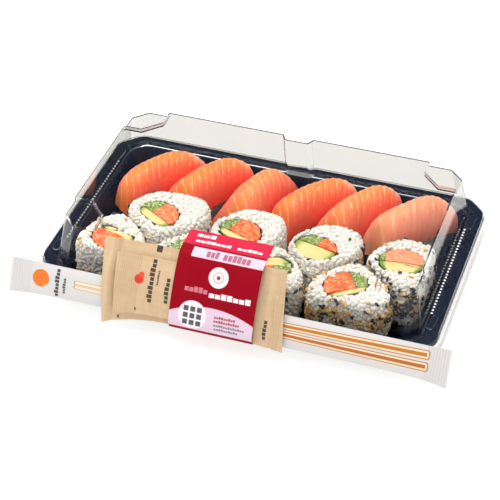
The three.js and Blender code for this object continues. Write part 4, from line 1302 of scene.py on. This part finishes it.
def flats_on(roll):
    """The flats that press on a roll, each a direction and a distance: at its rear left, its neighbours
    and the walls."""
    x, y = roll["at"]
    flats = [(PRESS_ANGLE, roll["press"])]
    for other in ROLLS:
        away = (other["at"][0] - x, other["at"][1] - y)
        distance = math.hypot(*away)
        if 0 < distance <= 2.2 * ROLL_RADIUS:
            share = roll["size"] / (roll["size"] + other["size"])
            flats.append((math.atan2(away[1], away[0]), distance * share - ROLL_SLACK))
    for direction, wall in ROLL_WALLS.items():
        flats.append((direction, wall - x * math.cos(direction) - y * math.sin(direction)))
    return flats


def pressed_radius(angle, flats, size):
    """Distance from a roll's middle to its pressed side in each direction: round, with soft flats."""
    total = (ROLL_RADIUS * size) ** -ROLL_SQUARENESS
    for direction, distance in flats:
        facing = np.maximum(0, np.cos(angle - direction))
        total = total + (facing / distance) ** ROLL_SQUARENESS
    return total ** (-1 / ROLL_SQUARENESS)


def lean_core(points, roll):
    """Turns points of a roll's filling and leans them towards where the filling comes out on top."""
    core, turn = roll["core"], math.radians(roll["turn"])
    spun = np.array([[math.cos(turn), -math.sin(turn)], [math.sin(turn), math.cos(turn)]])
    leant = points.copy()
    leant[..., :2] = points[..., :2] @ spun.T + points[..., 2:] * (np.array(core) / ROLL_HEIGHT)
    return leant


def core_outline(roll, extra, around, start):
    """The filling's outline grown by an extra: an oval cut off nearly flat on the avocado's side."""
    angle = start + np.arange(around) * 2 * math.pi / around
    x, y = (CORE_X + extra) * np.cos(angle), (CORE_Y + extra) * np.sin(angle)
    flat = -roll["flat"] * CORE_Y - extra
    return np.stack([x, np.where(y < flat, flat + (y - flat) * CORE_KEPT, y)], -1)


def core_ring(roll, extra, z, around):
    outline = core_outline(roll, extra, around, -math.radians(roll["turn"]))
    return lean_core(at_height(outline, z), roll)


def stand_roll(points, roll):
    return points + np.array([*roll["at"], TRAY_FLOOR + GAP])


def rice_core(roll, inset):
    """A roll's ring of packed rice, drawn in by an inset, and where grains, black and tan seeds cover it."""
    around, seed = ROLL_AROUND, number_of(roll)
    angle = np.arange(around) * 2 * math.pi / around
    reach = pressed_radius(angle, flats_on(roll), roll["size"])
    thicker = np.maximum(0, np.cos(angle - math.radians(roll["thick"])))
    facing = SESAME_BARER + (1 - SESAME_BARER) * thicker
    least, more, clump_size = SESAME_CLUMPS
    top = ROLL_HEIGHT + roll["rise"] + RICE_OVER
    heights, shares = zip(*ROLL_SIDE)
    hole = NORI_THICK + 2 * GAP
    rings, cover, seeds = [], [], []

    def side_ring(share, z):
        radius = reach * share - inset
        ring = np.stack([radius * np.cos(angle), radius * np.sin(angle), z + 0 * angle], -1)
        ring[:, :2] *= 1 + ROLL_DENTS[0] * ripple(ring, ROLL_DENTS[1], seed)[:, None]
        return ring

    for step in range(SIDE_STEPS + 1):
        height = step / SIDE_STEPS
        rings.append(side_ring(np.interp(height, heights, shares), height * (top - inset)))
        bare_foot = step < 2
        cover.append(np.full(around, 0.0 if bare_foot else 1.0))
        clumps = least + more * soft_step(ripple(rings[-1], clump_size, seed + 30), -0.15, 0.35)
        seeds.append(cover[-1] * (0.2 + 0.8 * soft_step(1 - height, 0, 0.3)) * facing * clumps)
    shoulder = rings[-1]
    brink = core_ring(roll, hole + 0.1, top - inset, around)
    for step in range(1, CROWN_STEPS + 1):
        share = step / CROWN_STEPS
        ring = shoulder * (1 - share) + brink * share
        dome = CROWN_RISE * math.sin(math.pi * min(1, share * 1.1))
        ring[:, 2] += dome + CROWN_DENTS[0] * ripple(ring, CROWN_DENTS[1], seed + 5)
        rings.append(ring)
        cover.append(np.ones(around))
        seeds.append(SESAME_CROWN * (1 - share) * facing)
    for extra, z in ((0, top - inset - 1), (0, 0.5 * top), (0, 0)):
        rings.append(core_ring(roll, hole + extra, z, around))
        cover.append(np.zeros(around))
        seeds.append(np.zeros(around))
    points, faces = through_rings(rings, True)
    return stand_roll(points, roll), faces, np.concatenate(cover), np.concatenate(seeds)


def make_roll_rice(roll, scatter, material):
    """A roll's rice: packed rice with grains laid over all that shows."""
    rice = bpy.context.scene.sushi_rice
    points, faces, cover, _ = rice_core(roll, rice.inset / MM)
    piece = build(f"roll_{roll['name']}_rice_grains", points, faces, None, {"cover": cover})
    run_tree(piece, scatter, rice_values(material, rice.seed + 20 + number_of(roll)))
    return hand_over(piece, "rice", f"roll_{roll['name']}_rice")


def make_seaweed(roll, material):
    """A thin sheet of seaweed round the filling, its upper edge uneven and a little lower than the rice."""
    top = ROLL_HEIGHT + roll["rise"] - SEAWEED_UNDER
    outside = NORI_THICK + GAP
    rings = []
    shares = ((outside, 0), (outside, 0.5), (outside, 0.93), (outside, 1), (GAP, 1), (GAP, 0.5), (GAP, 0))
    for extra, share in shares:
        ring = core_ring(roll, extra, share * top, FILLING_AROUND)
        if share == 1:
            ring[:, 2] += 0.8 * ripple(ring * (1, 1, 0), 7, number_of(roll))
        rings.append(ring)
    points, faces = through_rings(rings, True)
    piece = build(f"roll_{roll['name']}_seaweed", stand_roll(points, roll), faces, material)
    return hand_over(piece, "nori", f"roll_{roll['name']}_nori")


def number_of(roll):
    return ROLLS.index(roll) + 1


def clipped(outline, normal, distance):
    """The part of an outline on the side of a line that its normal points away from."""
    kept = []
    for i, point in enumerate(outline):
        after = outline[(i + 1) % len(outline)]
        here, there = np.dot(point, normal) - distance, np.dot(after, normal) - distance
        if here <= 0:
            kept.append(point)
        if here * there < 0:
            kept.append(point + (after - point) * here / (here - there))
    return np.array(kept)


def resampled(outline, count, softness):
    """The outline with evenly spaced points and its corners softened."""
    loop = np.concatenate([outline, outline[:1]])
    run = np.concatenate([[0], np.cumsum(np.linalg.norm(np.diff(loop, axis=0), axis=1))])
    places = np.linspace(0, run[-1], count, endpoint=False)
    even = np.stack([np.interp(places, run, loop[:, k]) for k in (0, 1)], -1)
    for _ in range(softness):
        even = even * 0.5 + (np.roll(even, 1, axis=0) + np.roll(even, -1, axis=0)) * 0.25
    return even


# For each filling: softness of its outline, how far it stands over the seaweed, height and size of its bumps.
FILLING_LOOKS = {
    "avocado": (2, 0.1, 0.35, 8.0),
    "salmon": (3, 0.9, 1.5, 3.8),
    "greens": (3, 0.3, 0.9, 2.4),
}


def filling_outlines(roll):
    """The outlines of avocado, salmon and greens: the core's outline, parted by two straight cuts."""
    core = core_outline(roll, -GAP, FILLING_AROUND, 0)
    side = roll["mirror"]
    chord = CORE_Y * (2 * roll["avocado"] - 1)
    split = CORE_X * (2 * roll["greens"] - 1)
    half = GAP * 0.5
    above = clipped(core, (0, -1), -(chord + half))
    return {
        "avocado": clipped(core, (0, 1), chord - half),
        "salmon": clipped(above, (-side, 0), -(split + half)),
        "greens": clipped(above, (side, 0), split - half),
    }


def make_filling(roll, kind, outline, material, scatter):
    """One filling of a roll: an upright strip with a rounded, bumpy top that spreads a little."""
    softness, over, bump, bump_size = FILLING_LOOKS[kind]
    seed = number_of(roll) + len(kind)
    top = ROLL_HEIGHT + roll["rise"] + over
    edge = resampled(outline, 64, softness)
    middle = edge.mean(axis=0)
    rings, own = [], []
    levels = [(1, 0), (1, 0.5 * top), *((share, top - under) for share, under in STRIP_BRIM)]
    levels += [(share, top) for share in STRIP_TOP]
    for share, z in levels:
        flat = middle + (edge - middle) * share
        ring = at_height(flat, z)
        if z > top - STRIP_BUMPY:
            weight = soft_step(1 - share, -0.02, 0.2)
            ring[:, 2] += bump * (0.35 + 0.65 * weight) * ripple(ring, bump_size, seed)
            ring[:, :2] += (0.35 * bump * ripple(ring, bump_size * 0.8, seed + 40))[:, None]
        rings.append(ring)
        own.append(at_height(flat, share))
    points, faces = through_rings(rings, False)
    points = stand_roll(lean_core(points, roll), roll)
    own = np.concatenate(own)
    fields = {"cut": own, "cover": np.where(own[:, 2] < 0.97, 1.0, 0.0),
              "pale": np.full(len(own), roll["pale"])}
    piece = build(f"roll_{roll['name']}_{kind}_strip", points, faces, material, fields, sharp=60)
    if kind == "greens":
        run_tree(piece, scatter, GREENS_BITS | {"Seed": seed, "Material": material})
    return hand_over(piece, kind, f"roll_{roll['name']}_{kind}")


def make_sesame(kind, dark, light, density, seed, tree):
    """All the sesame seeds of one colour, lying on the outsides of the rolls."""
    sesame = bpy.context.scene.sushi_sesame
    parts, weights = [], []
    for roll in ROLLS:
        points, faces, _, seeds = rice_core(roll, 0.0)
        parts.append((points, faces))
        weights.append(seeds * roll[kind])
    points, faces = joined(parts)
    piece = build(f"{kind}_sesame", points, faces, None, {"cover": np.concatenate(weights)})
    values = {"Length": sesame.seed_length, "Width": sesame.seed_width, "Density": density, "Seed": seed,
              "Height": sesame.seed_width * SEED_HIGH,
              "Material": sesame_material(f"{kind} sesame", dark, light)}
    run_tree(piece, tree, SESAME_LIE | values)
    return hand_over(piece, "rice")


# ---------------------------------------------------------------- what the band holds

LEAN_DOWN = (LEAN_FOOT - LEAN_TOP) / np.linalg.norm(LEAN_FOOT - LEAN_TOP)
LEAN_OUT = np.array([LEAN_DOWN[1], -LEAN_DOWN[0]])


def on_lean(x, down, off):
    """Points given by how far they lie down the leaning line and how far they stand off it."""
    y = LEAN_TOP[0] + LEAN_DOWN[0] * down + LEAN_OUT[0] * off
    z = LEAN_TOP[1] + LEAN_DOWN[1] * down + LEAN_OUT[1] * off
    return np.stack([x + 0 * y, y, z], -1)


def puff(spec, u, v):
    """Half thickness of a filled wrapper: flat seals along its edges, puffed between them."""
    across = np.maximum(0, 1 - np.abs(u / spec["seal"]) ** 4)
    along = np.maximum(0, 1 - np.abs(v / spec["seal"]) ** 2.5)
    return spec["edge"] + (spec["half"] - spec["edge"]) * across**0.6 * along**0.7


def stand_off(spec, down):
    """How far a wrapper's middle stands off the leaning line, at a distance down it."""
    distances, offs = zip(*spec["off"])
    return spec["over"] + np.interp(down, distances, offs)


def wrapper_place(spec, u, v):
    """How far across and down a point of a wrapper lies."""
    def edge_at(levels):
        left, middle, right = levels
        return middle + (np.where(u < 0, left, right) - middle) * np.abs(u) ** spec["flare"]

    share = (v + 1) / 2
    x = spec["left"] + (spec["right"] - spec["left"]) * (u + 1) / 2 + spec["lean"] * v
    return x, edge_at(spec["high"]) * (1 - share) + edge_at(spec["low"]) * share


def print_field(x, down):
    """For both skins of a sheet, each point's place across and down the print, and 1 on the printed side."""
    skins = [np.stack([x, down, np.full(x.shape, side)], -1).reshape(-1, 3) for side in (1.0, 0.0)]
    return {"print": np.concatenate(skins)}


def make_wrapper(name, spec, material):
    """A wrapper on the leaning line: flat seals, a puffed middle and a lightly crumpled skin."""
    crumple = spec["crumple"]

    def surface(side):
        def place(u, v):
            x, down = wrapper_place(spec, u, v)
            skin = puff(spec, u, v)
            flat = np.stack([x, down, 0 * x], -1)
            filled = np.clip((skin - spec["edge"]) / (spec["half"] - spec["edge"]), 0, 1)
            coarse = ripple(flat * (1, 0.6, 1), PAPER_CRUMPLES[0], 3 + side)
            ruck = crumple * (coarse + 0.5 * ripple(flat, PAPER_CRUMPLES[1], 9 + side))
            sway = PAPER_SWAY[0] * crumple * ripple(flat * (1, 1, 0), PAPER_SWAY[1], 17)
            for at, breadth, height in spec["ridges"]:
                wander = RIDGE_WANDER[0] * ripple(flat * (0, 1, 0), RIDGE_WANDER[1], 23)
                sway = sway + height * np.exp(-(((x - at - wander) / breadth) ** 2))
            off = stand_off(spec, down) + sway + side * (skin + ruck * (0.08 + 0.5 * filled))
            return on_lean(x, down, off)
        return place

    points, faces = between_surfaces(*spec["steps"], surface(1), surface(-1))
    fields = print_field(*wrapper_place(spec, *grid(*spec["steps"])))
    return build(name, points, faces, material, fields, sharp=50)


def band_route():
    """The band's middle line, from its flap to its tail under the tray: y, z and how far from the fold."""
    over = LID_TOP + GAP + BAND_THICK / 2
    under = TRAY_FLOOR - TRAY_WALL - GAP - BAND_THICK / 2
    fold = LEAN_TOP[0]
    flap = [(BAND_FLAP_END, over), *((fold + y, over + z) for y, z in BAND_BENDS)]
    route = [(y, z, fold - y) for y, z in flap]
    clearance = SOY["half"] + 2 * WASABI["half"] + BAND_SLACK
    reach, rate = BAND_CLOSER
    for down in BAND_STATIONS:
        off = float(stand_off(SOY, down)) + clearance - max(0, rate * (reach - down))
        _, y, z = on_lean(0.0, down, off)
        route.append((y, z, down))
    edge = SIDE_DIFFERENCE - TRAY_FLOOR_REACH
    tail = [*BAND_FOOT, *((edge + y, under + z) for y, z in BAND_UNDER), (BAND_TAIL_END, under)]
    for y, z in tail:
        route.append((y, z, route[-1][2] + math.dist((y, z), route[-1][:2])))
    return cut_corners(route, 2)


def make_band():
    """The printed band of card that holds sachets and sleeve to the pack."""
    path = band_route()
    along = np.gradient(path[:, :2], axis=0)
    along /= np.linalg.norm(along, axis=1)[:, None]
    sideways = np.stack([along[:, 1], -along[:, 0]], -1) * BAND_THICK / 2
    steps = (BAND_ACROSS, len(path) - 1)

    def on_path(u, v):
        """How far across a point lies, and which point of the path it belongs to."""
        return BAND_LEFT + (BAND_RIGHT - BAND_LEFT) * (u + 1) / 2, np.rint((v + 1) / 2 * steps[1]).astype(int)

    def surface(side):
        def place(u, v):
            x, i = on_path(u, v)
            down = path[i, 2]
            within = np.clip(down / BAND_BOWED, 0, 1) * np.clip((BAND_FRONT - down) / BAND_BOWED, 0, 1)
            bow = BAND_BOW * (1 - u * u) * within
            off = sideways[i] * side + along[i][..., ::-1] * (1, -1) * bow[..., None]
            return np.stack([x, path[i, 0] + off[..., 0], path[i, 1] + off[..., 1]], -1)
        return place

    points, faces = between_surfaces(*steps, surface(1), surface(-1))
    x, i = on_path(*grid(*steps))
    return build("label_band", points, faces, band_material(), print_field(x, path[i, 2]), sharp=50)


# ---------------------------------------------------------------- stage


def aim(thing, place, target):
    """Stands a light at a place, facing a target."""
    place, target = Vector(place), Vector(target)
    turn = (target - place).to_track_quat("-Z", "Y").to_matrix().to_4x4()
    thing.matrix_world = Matrix.Translation(place) @ turn


def add_light(name, size, power, place):
    """A large flat light, turned to the pack."""
    light = bpy.data.lights.new(name, "AREA")
    light.shape = "RECTANGLE"
    light.size, light.size_y = size
    light.energy = power
    aim(add_object(name, light), place, PACK_MIDDLE)


def add_floor():
    """A flat round floor: two rings of faces round one face under the pack."""
    angle = np.arange(FLOOR_AROUND) * 2 * math.pi / FLOOR_AROUND
    circle = np.stack([np.cos(angle), np.sin(angle), 0 * angle], -1)
    points, faces = through_rings([circle * radius for radius in FLOOR_RADII], False)
    faces.pop(-2)  # the outer end face would double the whole floor
    mesh = bpy.data.meshes.new("floor")
    mesh.from_pydata(points.tolist(), [], faces)
    mesh.materials.append(floor_material())
    add_object("floor", mesh)


def add_camera():
    """The camera, turned by its direction round the pack, its rise and its roll."""
    turn, rise, roll = (math.radians(a) for a in (CAMERA_TURN, CAMERA_RISE, CAMERA_ROLL))
    back = Vector((math.sin(turn) * math.cos(rise), -math.cos(turn) * math.cos(rise), math.sin(rise)))
    right = (-back).cross(Vector((0, 0, 1))).normalized()
    up = right.cross(-back)
    level = right * math.cos(roll) + up * math.sin(roll)
    tall = up * math.cos(roll) - right * math.sin(roll)
    lens = bpy.data.cameras.new("camera")
    lens.lens, lens.sensor_width = CAMERA_LENS, CAMERA_SENSOR
    lens.clip_start = 0.05
    camera = add_object("camera", lens)
    axes = Matrix((level, tall, back)).transposed().to_4x4()
    camera.matrix_world = Matrix.Translation(Vector(metres(CAMERA_PLACE))) @ axes
    bpy.context.scene.camera = camera


def add_sky(strength):
    """Near-white light from all round, held back where the lid's flat top would mirror it to the camera."""
    turn, rise = math.radians(CAMERA_TURN), math.radians(CAMERA_RISE)
    mirrored = (-math.sin(turn) * math.cos(rise), math.cos(turn) * math.cos(rise), math.sin(rise))
    world = bpy.data.worlds.new("studio")
    world.use_nodes = True
    t = Shader(world.node_tree)
    world.node_tree.nodes.clear()
    direction = t.add("ShaderNodeTexCoord").outputs["Generated"]
    toward = t.add("ShaderNodeVectorMath", {0: direction, 1: mirrored}, operation="DOT_PRODUCT").outputs[1]
    sky = t.blend(t.step(toward, 0.82, 0.96), "ffffff", "767a82")
    t.add("ShaderNodeOutputWorld", {0: t.out("ShaderNodeBackground", {"Color": sky, "Strength": strength})})
    bpy.context.scene.world = world


# ---------------------------------------------------------------- operators


class SUSHI_OT_stage(Operator):
    """Sets the floor, the lights, the sky and the camera"""

    bl_idname = "sushi.stage"
    bl_label = "Stage"

    def execute(self, context):
        stage = context.scene.sushi_stage
        add_camera()
        add_floor()
        add_sky(stage.sky)
        for name, (size, place, power) in LIGHTS.items():
            add_light(name, size, getattr(stage, power), place)
        context.scene.view_settings.view_transform = "Standard"
        return {"FINISHED"}


class SUSHI_OT_tray(Operator):
    """Builds the black tray"""

    bl_idname = "sushi.tray"
    bl_label = "Tray"

    def execute(self, context):
        hand_over(make_tray(), "tray", "tray")
        return {"FINISHED"}


class SUSHI_OT_lid(Operator):
    """Builds the clear lid and the pressed rows on its flange"""

    bl_idname = "sushi.lid"
    bl_label = "Lid"

    def execute(self, context):
        lid = hand_over(make_lid(), "lid", "lid")
        # The pips take the same whitened fold, so they glow as painted highlights too
        for row in make_pressed_rows(lid.data.materials[1]):
            hand_over(row, "lid")
        return {"FINISHED"}


class SUSHI_OT_nigiri(Operator):
    """Builds the six slices of fish and the rice under them"""

    bl_idname = "sushi.nigiri"
    bl_label = "Nigiri"

    def execute(self, context):
        scatter = scatter_tree("Even Grains", True)
        material = rice_material()
        for number, (start, end, half, crest, paleness, ends) in enumerate(NIGIRI, 1):
            make_fish(number, start, end, half, crest, paleness, ends)
            make_rice_pad(number, start, end, half, crest, ends, scatter, material)
        return {"FINISHED"}


class SUSHI_OT_rolls(Operator):
    """Builds the eight rolls: rice, seaweed, avocado, salmon and greens"""

    bl_idname = "sushi.rolls"
    bl_label = "Rolls"

    def execute(self, context):
        scatter = scatter_tree("Roll Grains", True)
        rice, seaweed = rice_material(), seaweed_material()
        fillings = {"avocado": avocado_material(), "salmon": salmon_material(), "greens": greens_material()}
        for roll in ROLLS:
            make_roll_rice(roll, scatter, rice)
            make_seaweed(roll, seaweed)
            for kind, outline in filling_outlines(roll).items():
                make_filling(roll, kind, outline, fillings[kind], scatter)
        return {"FINISHED"}


class SUSHI_OT_sesame(Operator):
    """Scatters black and tan sesame seeds over the outsides of the rolls"""

    bl_idname = "sushi.sesame"
    bl_label = "Sesame"

    def execute(self, context):
        sesame = context.scene.sushi_sesame
        tree = scatter_tree("Scattered Seeds", False)
        make_sesame("black", "14141a", "4a4a52", sesame.black_density, 5, tree)
        make_sesame("tan", "cf9c50", "ecc888", sesame.tan_density, 6, tree)
        return {"FINISHED"}


class SUSHI_OT_sachets(Operator):
    """Builds the two sachets"""

    bl_idname = "sushi.sachets"
    bl_label = "Sachets"

    def execute(self, context):
        for name, spec, node in (("soy", SOY, "soy_sachet"), ("small", WASABI, "wasabi_sachet")):
            paper = kraft_material(f"{name} sachet paper", spec)
            hand_over(make_wrapper(f"{name}_sachet_paper", spec, paper), "kraft", node)
        return {"FINISHED"}


class SUSHI_OT_sleeve(Operator):
    """Builds the paper sleeve of the chopsticks"""

    bl_idname = "sushi.sleeve"
    bl_label = "Chopstick sleeve"

    def execute(self, context):
        hand_over(make_wrapper("paper_sleeve", SLEEVE, sleeve_material()), "paper", "chopstick_sleeve")
        return {"FINISHED"}


class SUSHI_OT_band(Operator):
    """Builds the printed band of card"""

    bl_idname = "sushi.band"
    bl_label = "Label band"

    def execute(self, context):
        hand_over(make_band(), "band", "band")
        return {"FINISHED"}


STEPS = (SUSHI_OT_stage, SUSHI_OT_tray, SUSHI_OT_lid, SUSHI_OT_nigiri, SUSHI_OT_rolls, SUSHI_OT_sesame,
         SUSHI_OT_sachets, SUSHI_OT_sleeve, SUSHI_OT_band)


class SUSHI_PT_panel(Panel):
    """Lists the pieces of the pack"""

    bl_idname = "SUSHI_PT_panel"
    bl_label = "Sushi tray"
    bl_space_type = "VIEW_3D"
    bl_region_type = "UI"
    bl_category = "Sushi tray"

    def draw(self, context):
        for step in STEPS:
            self.layout.operator(step.bl_idname)
        for name, group in SETTINGS.items():
            settings = getattr(context.scene, name)
            box = self.layout.box()
            for key in group.__annotations__:
                box.prop(settings, key)


CLASSES = (*SETTINGS.values(), *STEPS, SUSHI_PT_panel)


def register():
    for one in CLASSES:
        bpy.utils.register_class(one)
    for name, group in SETTINGS.items():
        setattr(bpy.types.Scene, name, PointerProperty(type=group))


def unregister():
    for name in SETTINGS:
        delattr(bpy.types.Scene, name)
    for one in reversed(CLASSES):
        bpy.utils.unregister_class(one)


def main():
    register()
    for step in STEPS:
        family, name = step.bl_idname.split(".")
        getattr(getattr(bpy.ops, family), name)()


if __name__ == "__main__":
    main()
